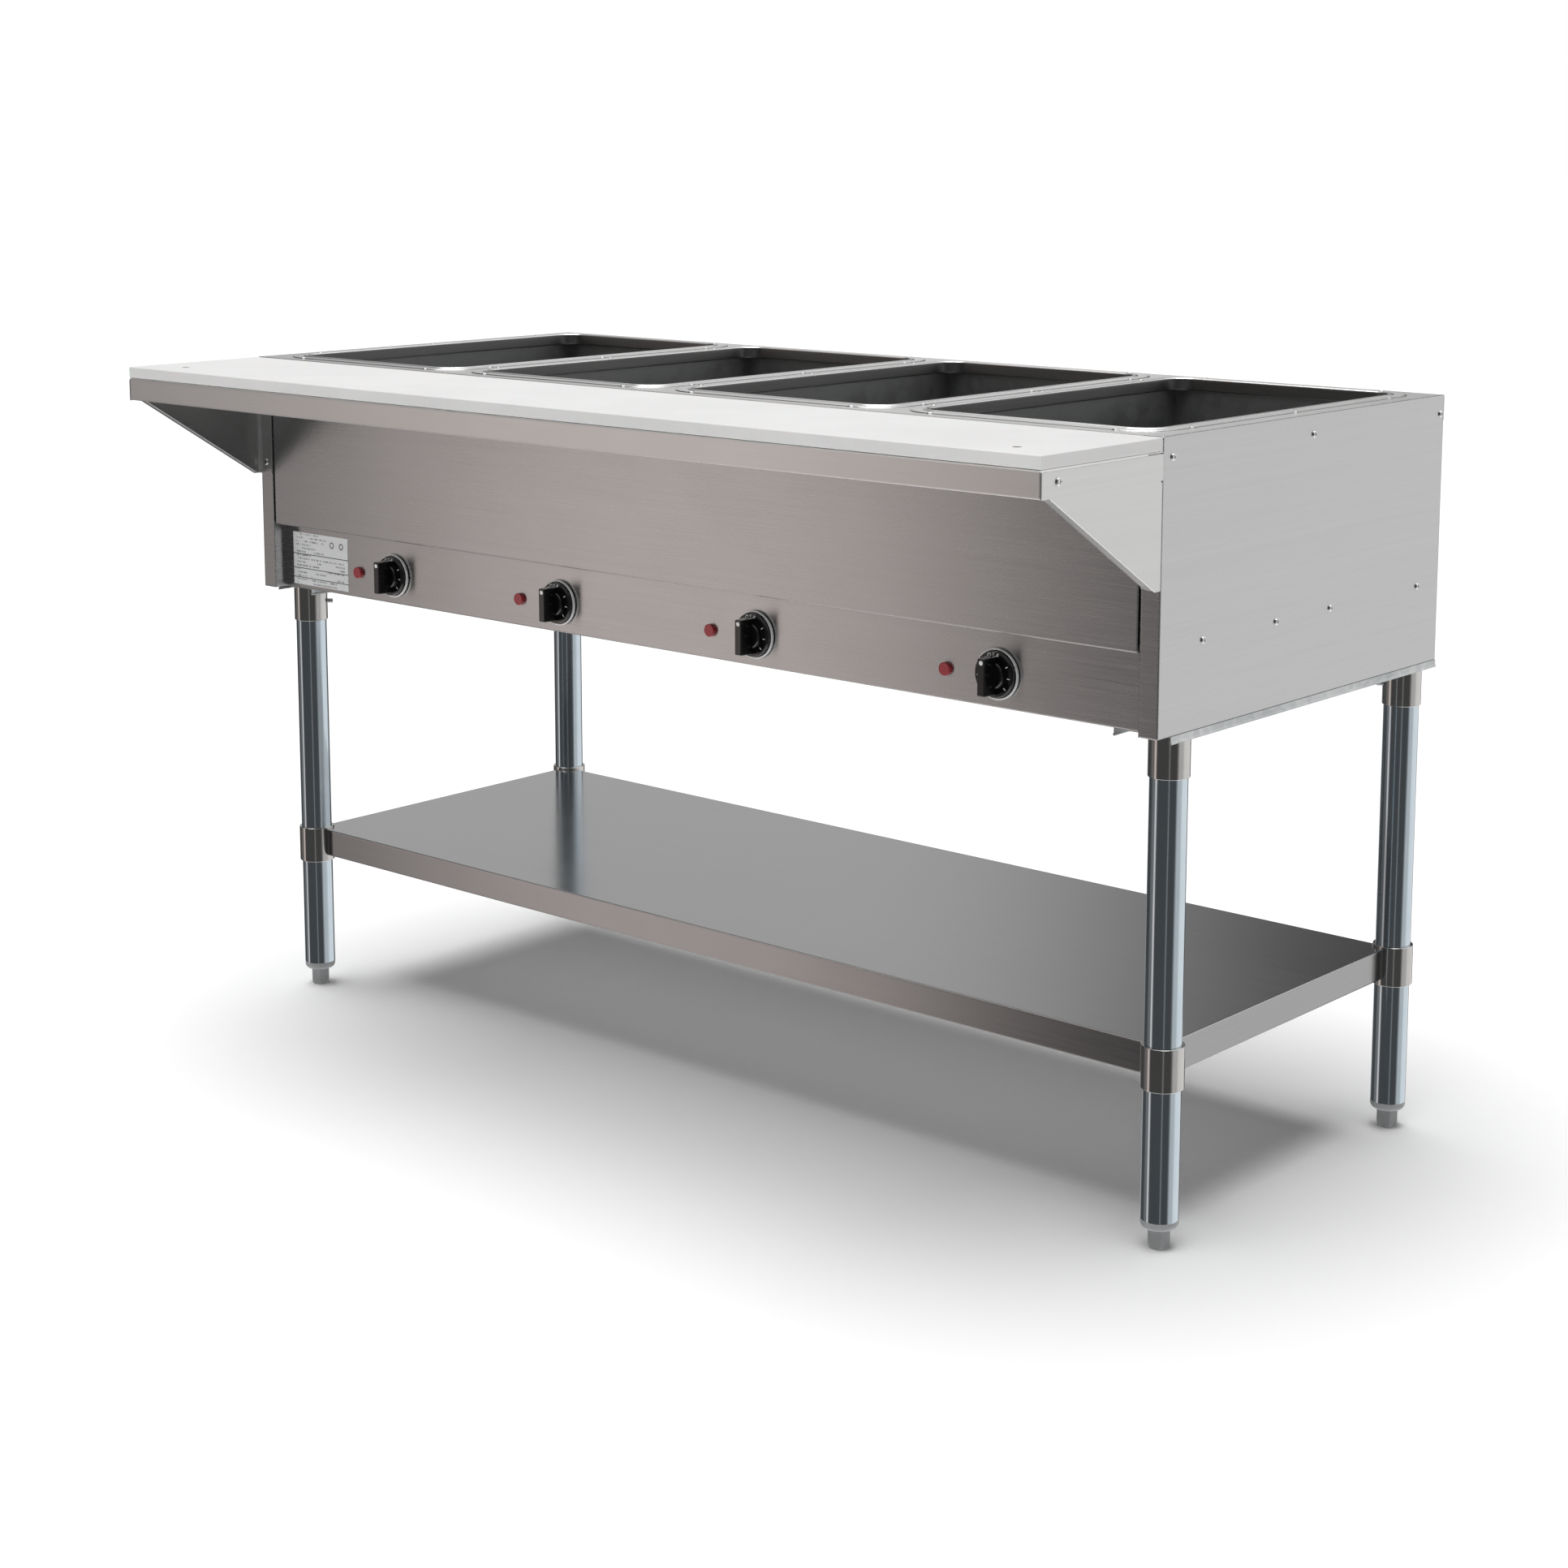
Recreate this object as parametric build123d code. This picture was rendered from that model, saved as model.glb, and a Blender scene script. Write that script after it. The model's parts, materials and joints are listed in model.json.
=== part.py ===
"""Four-well electric steam table on a tubular stand, with undershelf and cutting board.

Frame: +Z up, floor at z = 0, X along the table, the operator's side (controls and cutting board) at -Y.
The origin is on the floor below the middle of the whole table. All sizes are in millimetres.
"""

from build123d import *
import math
import os

# --- driving dimensions -------------------------------------------------------------------------------------------
BODY_LENGTH = 1460.0  # outside the end panels
BODY_DEPTH = 584.0  # front of the corner posts to the heads of the rear screws
WORK_SHELF_REACH = 209.0  # cutting-board shelf in front of the body
DECK_Z = 886.0  # flat of the top sheet above the floor
BODY_BOTTOM_Z = 572.0
SHEET = 1.2  # casing sheet
WELL_COUNT = 4
WELL_PITCH = 357.0
WELL_WIDTH, WELL_LENGTH, WELL_DEPTH = 305.0, 508.0, 203.0  # a full-size food pan well
WELL_RADIUS = 25.0
POST_WIDTH = 24.0  # front return of an end panel, seen as a corner post
CONTROL_RECESS = 22.0  # control panel behind the posts' front face
CONTROL_TOP_Z = 660.0
BOARD_LENGTH, BOARD_THICKNESS = 1462.0, 14.0
UNDERSHELF_TOP_Z = 225.0
LEG_RADIUS, LEG_WALL = 20.65, 1.6
LEG_X, LEG_FRONT_OFFSET, LEG_REAR_OFFSET = 705.6, 59.3, 550.0  # offsets run back from the posts' front face
FOOT_TRAVEL = 25.0

# --- planes worked out from them ----------------------------------------------------------------------------------
END_X = BODY_LENGTH / 2
TOTAL_DEPTH = BODY_DEPTH + WORK_SHELF_REACH
FRONT_Y = WORK_SHELF_REACH - TOTAL_DEPTH / 2
REAR_Y = FRONT_Y + BODY_DEPTH
SCREW_HEAD = 2.0
CASE_REAR_Y = REAR_Y - (SCREW_HEAD - SHEET)  # the deck's rear flange laps over the sheet that the screws hold
EDGE_Y = FRONT_Y - WORK_SHELF_REACH
INNER_X = END_X - SHEET
PANEL_Y = FRONT_Y + CONTROL_RECESS
UNDER_DECK_Z = DECK_Z - SHEET
WELL_Y = FRONT_Y + (BODY_DEPTH / 2)
WELL_XS = [(index - (WELL_COUNT - 1) / 2) * WELL_PITCH for index in range(WELL_COUNT)]
LEGS = [
    (side * LEG_X, FRONT_Y + offset)
    for offset in (LEG_FRONT_OFFSET, LEG_REAR_OFFSET)
    for side in (-1, 1)
]
KNOB_XS = (-484.0, -172.0, 156.0, 509.0)
KNOB_Z = 609.8
LAMP_OFFSET_X, LAMP_Z = -72.0, 606.0
WIDE = 3000.0  # longer than the table, for cutting tools


def slab(x0, x1, y0, y1, z0, z1):
    """A block between two corners given axis by axis, in either order."""
    centre = ((x0 + x1) / 2, (y0 + y1) / 2, (z0 + z1) / 2)
    return Pos(*centre) * Box(abs(x1 - x0), abs(y1 - y0), abs(z1 - z0))


def rounded_block(width, depth, radius, z0, z1, x=0.0, y=0.0):
    """An upright block with rounded vertical corners."""
    return Pos(x, y, z0) * extrude(RectangleRounded(width, depth, radius), z1 - z0)


def upright(radius, z0, z1, x=0.0, y=0.0):
    """A cylinder along Z."""
    return Pos(x, y, (z0 + z1) / 2) * Cylinder(radius, z1 - z0)


def forward_rod(radius, y0, y1, x, z):
    """A cylinder along Y."""
    return Pos(x, (y0 + y1) / 2, z) * Rot(90, 0, 0) * Cylinder(radius, abs(y1 - y0))


def edges_at(part, axis, value, tolerance=0.01):
    """Straight or round edges that lie wholly in the plane axis = value."""
    pick = {"x": lambda v: v.X, "y": lambda v: v.Y, "z": lambda v: v.Z}[axis]
    return [
        edge
        for edge in part.edges()
        if all(abs(pick(edge.position_at(t)) - value) < tolerance for t in (0.0, 0.31, 0.77, 1.0))
    ]


def edges_between(part, first, second):
    """Edges that lie in two planes at once, each given as (axis, value)."""
    in_first = edges_at(part, *first)
    in_second = edges_at(part, *second)
    return [edge for edge in in_first if any(edge.is_same(other) for other in in_second)]


# --- fasteners ----------------------------------------------------------------------------------------------------
def pan_screw(head_radius=4.0, head=SCREW_HEAD, shank_radius=1.9, shank=7.0):
    """A cross-recessed pan-head screw along Z: head above z = 0, shank below."""
    body = upright(head_radius, 0, head)
    body = fillet(edges_at(body, "z", head), head * 0.7)
    slot = Pos(0, 0, head) * Box(head_radius * 1.1, head_radius * 0.24, head)
    body -= slot + Rot(0, 0, 90) * slot
    return body + upright(shank_radius, -shank, 0)


def shank_tool(shank_radius=1.9, shank=12.0):
    """The hole that a screw's shank needs, through every sheet under its head."""
    return upright(shank_radius, -shank, shank)


def facing(direction):
    """Turn a part made along +Z so that it faces +X, -X, +Y, -Y or -Z."""
    return {
        "+x": Rot(0, 90, 0),
        "-x": Rot(0, -90, 0),
        "+y": Rot(-90, 0, 0),
        "-y": Rot(90, 0, 0),
        "-z": Rot(180, 0, 0),
    }[direction]


END_SCREW_SPOTS = [(FRONT_Y + y, 864.0) for y in (18.0, 293.0, 575.0)] + [
    (FRONT_Y + y, 666.0) for y in (81.0, 225.0, 338.0, 533.0)
]
REAR_SCREW_SPOTS = [(side * 718.0, z) for z in (598.0, 716.0, 834.0) for side in (-1, 1)]
BRACKET_SCREW_SPOT = (FRONT_Y - 181.0, 858.0)
BRACKET_X = END_X + 1.0
FLANGE_SCREW_SPOTS = [(718.0, 744.0), (718.0, 822.0)]


def end_screw_places(side):
    """Where the end panel's screws sit, heads outward."""
    turn = facing("+x" if side > 0 else "-x")
    return [Pos(side * END_X, y, z) * turn for y, z in END_SCREW_SPOTS]


def rear_screw_places():
    """Where the rear panel's screws sit."""
    return [Pos(x, CASE_REAR_Y - SHEET, z) * facing("+y") for x, z in REAR_SCREW_SPOTS]


def bracket_screw_places(side):
    """The bracket's one screw into the shelf and its two screws into the corner post."""
    outward = facing("+x" if side > 0 else "-x")
    y, z = BRACKET_SCREW_SPOT
    places = [Pos(side * BRACKET_X, y, z) * outward]
    places += [Pos(side * x, FRONT_Y - SHEET, z) * facing("-y") for x, z in FLANGE_SCREW_SPOTS]
    return places


def drilled(part, places):
    """The part with a shank hole at every screw place."""
    for place in places:
        part -= place * shank_tool()
    return part


def screws(places, **sizes):
    """A group of separate screws."""
    return Compound(children=[place * pan_screw(**sizes) for place in places])


# --- casing -------------------------------------------------------------------------------------------------------
LIP_WIDTH, LIP_ROUND, LIP_Z = 6.0, 2.2, DECK_Z + 2.2
BORDER_WIDTH, BORDER_RISE = 14.0 + LIP_WIDTH, 1.0
DRAW_Z = DECK_Z - 13.0
PIP_RADIUS = 3.2


def well_border():
    """Raised flat round one well, hollow underneath so that the sheet keeps its thickness."""
    width, length = WELL_WIDTH + 2 * BORDER_WIDTH, WELL_LENGTH + 2 * BORDER_WIDTH
    top = DECK_Z + BORDER_RISE
    outer = rounded_block(width, length, WELL_RADIUS + BORDER_WIDTH, UNDER_DECK_Z, top)
    outer = fillet(edges_at(outer, "z", top), BORDER_RISE * 0.7)
    inset = 2 * SHEET
    pocket = rounded_block(
        width - inset, length - inset, WELL_RADIUS + BORDER_WIDTH - SHEET, UNDER_DECK_Z - 1, top - SHEET
    )
    return outer, pocket


def well_lip():
    """Rolled lip and drawn wall of one well opening."""
    under = DECK_Z + BORDER_RISE - SHEET
    ring = rounded_block(
        WELL_WIDTH + 2 * LIP_WIDTH, WELL_LENGTH + 2 * LIP_WIDTH, WELL_RADIUS + LIP_WIDTH, under, LIP_Z
    )
    ring = fillet(edges_at(ring, "z", LIP_Z), LIP_ROUND)
    wall = rounded_block(WELL_WIDTH + 2 * SHEET, WELL_LENGTH + 2 * SHEET, WELL_RADIUS + SHEET, DRAW_Z, DECK_Z)
    opening = rounded_block(WELL_WIDTH, WELL_LENGTH, WELL_RADIUS, DRAW_Z - 1, LIP_Z + 1)
    lip = ring + wall - opening
    inner_top = [e for e in edges_at(lip, "z", LIP_Z) if abs(e.center().X) < WELL_WIDTH / 2 + 1]
    inner_top = [e for e in inner_top if abs(e.center().Y) < WELL_LENGTH / 2 + 1]
    return fillet(inner_top, LIP_ROUND), opening


def pip_spots():
    """Pressed pips of one well, on the step of its border."""
    side = WELL_WIDTH / 2 + BORDER_WIDTH - 1.5
    end = WELL_LENGTH / 2 + BORDER_WIDTH - 1.5
    spots = [(sx * side, y) for sx in (-1, 1) for y in (-204.0, 0.0, 204.0)]
    return spots + [(sx * (WELL_WIDTH / 2 - 30.0), sy * end) for sx in (-1, 1) for sy in (-1, 1)]


def deck_top():
    """Top sheet with four well openings, borders, lips, pips and down-turned flanges."""
    front = FRONT_Y + SHEET
    inner = CASE_REAR_Y - SHEET
    deck = slab(-INNER_X, INNER_X, front, CASE_REAR_Y, UNDER_DECK_Z, DECK_Z)
    deck += slab(-END_X, END_X, inner, CASE_REAR_Y, DECK_Z - 30.0, DECK_Z)
    deck = fillet(edges_between(deck, ("y", CASE_REAR_Y), ("z", DECK_Z)), 1.6)
    deck += slab(-705, 705, front, front + SHEET, DECK_Z - 15.0, DECK_Z)
    for side in (-1, 1):
        deck += slab(
            side * INNER_X, side * (INNER_X - SHEET), front + SHEET, inner - 3.0, DECK_Z - 30.0, UNDER_DECK_Z
        )
    border, pocket = well_border()
    lip, opening = well_lip()
    top = DECK_Z + BORDER_RISE
    for x in WELL_XS:
        place = Pos(x, WELL_Y, 0)
        deck += place * border
        deck -= place * pocket
        deck -= place * opening
        deck += place * lip
        for px, py in pip_spots():
            pip = upright(PIP_RADIUS, DECK_Z - 0.1, top + 0.5, x + px, WELL_Y + py)
            deck += fillet(edges_at(pip, "z", top + 0.5), 0.45)
    return drilled(deck, end_screw_places(1) + end_screw_places(-1))


def end_panel(side):
    """End sheet with its front return (the corner post), rear return and bottom return."""
    front, rear = FRONT_Y, CASE_REAR_Y - SHEET
    panel = slab(side * END_X, side * INNER_X, front, rear, BODY_BOTTOM_Z, DECK_Z)
    post_inner = END_X - POST_WIDTH
    panel += slab(side * END_X, side * post_inner, front, front + SHEET, BODY_BOTTOM_Z, DECK_Z)
    panel += slab(side * END_X, side * (END_X - 25), front + 26, rear, BODY_BOTTOM_Z, BODY_BOTTOM_Z + SHEET)
    panel += slab(side * END_X, side * (END_X - 20), rear - SHEET, rear, BODY_BOTTOM_Z, UNDER_DECK_Z)
    corner = edges_between(panel, ("x", side * END_X), ("y", front))
    crown = edges_between(panel, ("x", side * END_X), ("z", DECK_Z))
    foot = edges_between(panel, ("x", side * END_X), ("z", BODY_BOTTOM_Z))
    panel = fillet(corner + crown + foot, 1.0)
    panel += slab(
        side * post_inner, side * (post_inner + SHEET), front + SHEET / 2, PANEL_Y + SHEET,
        BODY_BOTTOM_Z, DECK_Z - 16,
    )
    places = end_screw_places(side) + bracket_screw_places(side) + rear_screw_places()
    return drilled(panel, places)


def rear_panel():
    """Closed back sheet, screwed inside the end panels' rear returns."""
    outer = CASE_REAR_Y - 2 * SHEET
    panel = slab(-INNER_X, INNER_X, outer - SHEET, outer, BODY_BOTTOM_Z + 2 * SHEET, UNDER_DECK_Z - 1)
    return drilled(panel, rear_screw_places())


UPPER_PANEL_X = END_X - POST_WIDTH - 3.0


def front_panel_upper():
    """Plain front sheet with returned ends and a bottom return that roofs the control bay."""
    x = UPPER_PANEL_X
    back = PANEL_Y + SHEET
    panel = slab(-x, x, FRONT_Y, FRONT_Y + SHEET, CONTROL_TOP_Z, DECK_Z - 1)
    panel += slab(-x, x, FRONT_Y, back, CONTROL_TOP_Z, CONTROL_TOP_Z + SHEET)
    for side in (-1, 1):
        panel += slab(side * x, side * (x - SHEET), FRONT_Y, FRONT_Y + 14, CONTROL_TOP_Z, DECK_Z - 16)
    bends = edges_between(panel, ("y", FRONT_Y), ("z", CONTROL_TOP_Z))
    for side in (-1, 1):
        bends += edges_between(panel, ("y", FRONT_Y), ("x", side * x))
    return fillet(bends, 1.0)


def control_panel():
    """Recessed lower front sheet with holes for switch bushings and lamps."""
    x = END_X - POST_WIDTH
    panel = slab(-x, x, PANEL_Y, PANEL_Y + SHEET, BODY_BOTTOM_Z, CONTROL_TOP_Z)
    panel = fillet(edges_between(panel, ("y", PANEL_Y), ("z", BODY_BOTTOM_Z)), 1.0)
    panel += slab(2 - x, x - 2, PANEL_Y + SHEET, PANEL_Y + 22, BODY_BOTTOM_Z, BODY_BOTTOM_Z + SHEET)
    for knob_x in KNOB_XS:
        panel -= forward_rod(BUSHING_RADIUS, PANEL_Y - 5, PANEL_Y + 5, knob_x, KNOB_Z)
        panel -= forward_rod(LAMP_NECK_RADIUS, PANEL_Y - 5, PANEL_Y + 5, knob_x + LAMP_OFFSET_X, LAMP_Z)
    return panel


def bottom_pan():
    """Floor of the wiring space, lying on the bottom returns."""
    z = BODY_BOTTOM_Z + SHEET
    pan = slab(-INNER_X, INNER_X, PANEL_Y + 4, CASE_REAR_Y - 2 * SHEET, z, z + SHEET)
    pan -= slab(-WIDE, -706, PANEL_Y - 5, PANEL_Y + 6, z - 5, z + 5)
    pan -= slab(706, WIDE, PANEL_Y - 5, PANEL_Y + 6, z - 5, z + 5)
    return pan - upright(GLAND_NECK_RADIUS, z - 5, z + 5, *GLAND_SPOT)


SHIELD_Z = 655.0


def heat_shield_tray():
    """Sheet below the wells, with turned-up ends that the low end screws hold."""
    y0, y1 = FRONT_Y + 62, CASE_REAR_Y - 12
    tray = slab(-INNER_X, INNER_X, y0, y1, SHIELD_Z, SHIELD_Z + SHEET)
    for side in (-1, 1):
        tray += slab(side * INNER_X, side * (INNER_X - SHEET), y0, y1, SHIELD_Z, SHIELD_Z + 24)
    return drilled(tray, end_screw_places(1) + end_screw_places(-1))


# --- wells --------------------------------------------------------------------------------------------------------
LINER_SHEET = 0.8
LINER_CLEAR = 2.0  # liner wall outside the deck's drawn wall
LINER_X = WELL_WIDTH / 2 + LINER_CLEAR
LINER_Y = WELL_LENGTH / 2 + LINER_CLEAR
LINER_FLOOR_Z = DECK_Z - WELL_DEPTH
LINER_FLANGE_Z = DECK_Z + BORDER_RISE - SHEET
ELEMENT_RADIUS = 4.0
ELEMENT_Z = LINER_FLOOR_Z + LINER_SHEET + 18.0
TERMINAL_X = 25.0
GLAND_HEX_RADIUS = 8.0


def well_liner(x):
    """Folded galvanised box hung under the border of one well."""
    flange = 9.0
    outer = slab(-LINER_X - LINER_SHEET, LINER_X + LINER_SHEET, -LINER_Y - LINER_SHEET, LINER_Y + LINER_SHEET,
                 LINER_FLOOR_Z, LINER_FLANGE_Z)
    outer += rounded_block(
        2 * (LINER_X + flange), 2 * (LINER_Y + flange), 32.0, LINER_FLANGE_Z - LINER_SHEET, LINER_FLANGE_Z
    )
    liner = outer - slab(-LINER_X, LINER_X, -LINER_Y, LINER_Y, LINER_FLOOR_Z + LINER_SHEET, LINER_FLANGE_Z + 1)
    for side in (-1, 1):
        liner -= forward_rod(ELEMENT_RADIUS + 0.6, -LINER_Y - 5, -LINER_Y + 5, side * TERMINAL_X, ELEMENT_Z)
    return Pos(x, WELL_Y, 0) * liner


def heating_element(x):
    """Sheathed tubular element in one well: four long runs, both ends out through the front wall."""
    near, turn, far, outer, inner = -LINER_Y + 34, -LINER_Y + 84, LINER_Y - 60, 115.0, 38.0
    half = [(TERMINAL_X, -LINER_Y - 22), (TERMINAL_X, near), (outer, near), (outer, far), (inner, far), (inner, turn)]
    points = [(-px, py) for px, py in half] + list(reversed(half))
    path = FilletPolyline(*points, radius=17.0)
    start = Plane(origin=path @ 0, z_dir=path % 0)
    return Pos(x, WELL_Y, ELEMENT_Z) * sweep(start * Circle(ELEMENT_RADIUS), path=path)


def element_saddles():
    """Two folded strips in each well that hold the element off the floor."""
    strips = []
    for x in WELL_XS:
        for y in (-110.0, 120.0):
            strips.append(
                slab(x - 125, x + 125, WELL_Y + y - 6, WELL_Y + y + 6,
                     LINER_FLOOR_Z + LINER_SHEET, ELEMENT_Z - ELEMENT_RADIUS)
            )
    return Compound(children=strips)


def element_glands():
    """Hexagonal gland nuts that seal the element's ends in the front wall."""
    nuts = []
    wall = WELL_Y - LINER_Y - LINER_SHEET
    for x in WELL_XS:
        for side in (-1, 1):
            nut = extrude(RegularPolygon(GLAND_HEX_RADIUS, 6), 6.0) - Pos(0, 0, 3) * Cylinder(ELEMENT_RADIUS, 12)
            nuts.append(Pos(x + side * TERMINAL_X, wall, ELEMENT_Z) * Rot(90, 0, 0) * nut)
    return Compound(children=nuts)


def well_insulation():
    """Mineral-wool batts between the wells and at both ends."""
    z0, z1 = LINER_FLOOR_Z + 8, DECK_Z - 36
    half = 18.0
    gaps = [(WELL_XS[i] + WELL_XS[i + 1]) / 2 for i in range(WELL_COUNT - 1)]
    batts = [slab(gap - half, gap + half, WELL_Y - 245, WELL_Y + 245, z0, z1) for gap in gaps]
    inner = WELL_XS[-1] + LINER_X + LINER_SHEET
    for side in (-1, 1):
        batts.append(
            slab(side * (inner + 2), side * (INNER_X - SHEET - 8), WELL_Y - 225, WELL_Y + 245, z0, z1)
        )
    rear = WELL_Y + LINER_Y + LINER_SHEET
    batts.append(slab(-680, 680, rear + 1, CASE_REAR_Y - 3 * SHEET - 4, z0, z1))
    return Compound(children=batts)


# --- controls -----------------------------------------------------------------------------------------------------
BUSHING_RADIUS = 5.0
SHAFT_RADIUS = 3.0
SHAFT_CLEARANCE = 0.06
LAMP_NECK_RADIUS = 6.0
LENS_RADIUS = 7.6
SKIRT_RADIUS = 27.5
KNOB_GAP = 1.0
SKIRT_BACK_Y = PANEL_Y - KNOB_GAP
GRIP_FRONT_Y = SKIRT_BACK_Y - 31.0


def thermostat(x):
    """Energy regulator behind the control panel: body, terminals and threaded bushing."""
    back = PANEL_Y + SHEET
    body = slab(x - 22, x + 22, back, back + 30, KNOB_Z - 22, KNOB_Z + 22)
    body = fillet(body.edges().filter_by(Axis.Y), 3.0)
    body += forward_rod(BUSHING_RADIUS, PANEL_Y - 4, back + 1, x, KNOB_Z)
    for dx in (-12.0, 0.0, 12.0):
        body += slab(x + dx - 3, x + dx + 3, back + 30, back + 38, KNOB_Z - 14, KNOB_Z - 13.2)
    return body - forward_rod(SHAFT_RADIUS + SHAFT_CLEARANCE, PANEL_Y - 10, back + 16, x, KNOB_Z)


def thermostat_nuts():
    """Thin nuts that clamp the four bushings to the panel."""
    nuts = []
    for x in KNOB_XS:
        nut = extrude(RegularPolygon(8.0, 6), 2.4) - Cylinder(BUSHING_RADIUS, 12)
        nuts.append(Pos(x, PANEL_Y, KNOB_Z) * Rot(90, 0, 0) * nut)
    return Compound(children=nuts)


def knob_shaft(x):
    """Round shaft between regulator and knob."""
    return forward_rod(SHAFT_RADIUS, SKIRT_BACK_Y - 20, PANEL_Y + SHEET + 15, x, KNOB_Z)


def knob(x):
    """Moulded control knob, built along +Z from its back face and then turned to face the operator."""
    base = upright(SKIRT_RADIUS, 0, 3.2)
    base = fillet(edges_at(base, "z", 3.2), 0.8)
    dial = upright(SKIRT_RADIUS - 1.6, 3.0, 9.0)
    dial = fillet(edges_at(dial, "z", 9.0), 2.4)
    hub = upright(15.5, 8.0, 13.5)
    hub = fillet(edges_at(hub, "z", 13.5), 3.0)
    height = SKIRT_BACK_Y - GRIP_FRONT_Y
    grip = Pos(0, 0, 8.0) * extrude(Rectangle(12.0, 43.0), height - 8.0, taper=2.0)
    sides = grip.edges().filter_by(lambda edge: abs(edge.tangent_at(0.5).Z) > 0.9)
    grip = fillet(grip.edges().group_by(Axis.Z)[-1] + sides, 1.4)
    body = base + dial + hub + grip
    body -= upright(12.0, -1, 5.0)
    body -= upright(SHAFT_RADIUS, -1, 20.0)
    return Pos(x, SKIRT_BACK_Y, KNOB_Z) * Rot(90, 0, 0) * body


def lamp_lenses():
    """Red lenses, low drums with a rounded face."""
    lenses = []
    for x in KNOB_XS:
        lens = forward_rod(LENS_RADIUS, PANEL_Y - 4.6, PANEL_Y, x + LAMP_OFFSET_X, LAMP_Z)
        lenses.append(fillet(edges_at(lens, "y", PANEL_Y - 4.6), 0.9))
    return Compound(children=lenses)


def lamp_bodies():
    """Neon lamp barrels behind the lenses."""
    return Compound(
        children=[
            forward_rod(LAMP_NECK_RADIUS, PANEL_Y, PANEL_Y + 26, x + LAMP_OFFSET_X, LAMP_Z) for x in KNOB_XS
        ]
    )


def rating_plate():
    """Blank data plate at the left end of the control panel."""
    return slab(-693, -579, PANEL_Y - 0.4, PANEL_Y, 577.0, 648.5)


GLAND_SPOT = (-560.0, FRONT_Y + 500.0)
GLAND_NECK_RADIUS = 10.0
GLAND_BORE_RADIUS = 6.5


def cable_gland():
    """Supply cable gland through the bottom pan."""
    x, y = GLAND_SPOT
    pan_z = BODY_BOTTOM_Z + SHEET
    gland = upright(GLAND_NECK_RADIUS, pan_z, pan_z + SHEET, x, y)
    gland += Pos(x, y, pan_z + SHEET) * extrude(RegularPolygon(14.0, 6), 6.0)
    gland += Pos(x, y, pan_z - 9.0) * extrude(RegularPolygon(14.0, 6), 9.0)
    gland += upright(11.0, pan_z - 20.0, pan_z - 9.0, x, y)
    gland = fillet(edges_at(gland, "z", pan_z - 20.0), 2.5)
    return gland - upright(GLAND_BORE_RADIUS, pan_z - 30, pan_z + 20, x, y)


def terminal_block():
    """Ceramic supply block on the bottom pan."""
    x, y = GLAND_SPOT
    z = BODY_BOTTOM_Z + 2 * SHEET
    block = slab(x + 40, x + 112, y - 14, y + 14, z, z + 22)
    for index in range(4):
        block -= upright(4.0, z + 12, z + 30, x + 49 + index * 18, y)
    return block


# --- stand --------------------------------------------------------------------------------------------------------
RAIL_OUTER, RAIL_INNER, RAIL_DROP, HEM_RADIUS = END_X + 0.5, END_X - 71.0, 9.0, 1.6
SOCKET_RADIUS, SOCKET_LENGTH = 22.6, 50.0
SOCKET_TOP_Z = BODY_BOTTOM_Z - SHEET
COLLAR_RADIUS, COLLAR_Z0, COLLAR_Z1 = 23.75, 180.0, 228.0
SLIDE_CLEARANCE = 0.08
TUBE_Z0, TUBE_Z1 = 33.0, SOCKET_TOP_Z - 2.0
CAP_Z0 = 22.6
STUD_RADIUS = 5.0
HEX_TOP_Z = 21.8


def leg_rail(side):
    """Channel under one end, with hemmed lips, that carries a front and a rear leg."""
    y0, y1 = FRONT_Y + 24, CASE_REAR_Y
    outer, inner, top = side * RAIL_OUTER, side * RAIL_INNER, BODY_BOTTOM_Z
    rail = slab(outer, inner, y0, y1, top - SHEET, top)
    low = top - RAIL_DROP
    for x, inward in ((outer, -side), (inner, side)):
        rail += slab(x, x + inward * SHEET, y0, y1, low + HEM_RADIUS, top)
        middle = Pos(x + inward * SHEET / 2, (y0 + y1) / 2, low + HEM_RADIUS)
        rail += middle * Rot(90, 0, 0) * Cylinder(HEM_RADIUS, y1 - y0)
    return rail


def leg_sockets():
    """Stainless sleeves under the rails that receive the legs."""
    sleeves = []
    for x, y in LEGS:
        z0 = SOCKET_TOP_Z - SOCKET_LENGTH
        sleeve = upright(SOCKET_RADIUS, z0, SOCKET_TOP_Z, x, y)
        sleeve = fillet(edges_at(sleeve, "z", z0), 0.6)
        sleeve -= upright(LEG_RADIUS, z0 - 1, SOCKET_TOP_Z + 1, x, y)
        sleeves.append(sleeve - inward_tool(x, y, z0 + 25))
    return Compound(children=sleeves)


def inward(x, y):
    """Angle about Z that points from a leg to the table's middle, diagonally."""
    return math.degrees(math.atan2(-math.copysign(1, y - WELL_Y), -math.copysign(1, x)))


def inward_place(x, y, z):
    """A frame whose +Z axis leaves a leg's centre line towards the table's middle."""
    return Pos(x, y, z) * Rot(0, 0, inward(x, y)) * Rot(0, 90, 0)


def inward_tool(x, y, z, radius=3.0):
    """Threaded hole for a set screw."""
    return inward_place(x, y, z) * upright(radius, 10, 40)


def set_screws(z, reach):
    """Set screws on the inner side of all four sleeves at one height."""
    group = []
    for x, y in LEGS:
        screw = upright(3.0, reach, reach + 9.0)
        screw -= Pos(0, 0, reach + 9.0) * extrude(RegularPolygon(1.7, 6), -3.0)
        group.append(inward_place(x, y, z) * screw)
    return Compound(children=group)


def leg_tube(x, y):
    """Galvanised 1 5/8 inch tube."""
    return upright(LEG_RADIUS, TUBE_Z0, TUBE_Z1, x, y) - upright(LEG_RADIUS - LEG_WALL, 0, DECK_Z, x, y)


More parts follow.
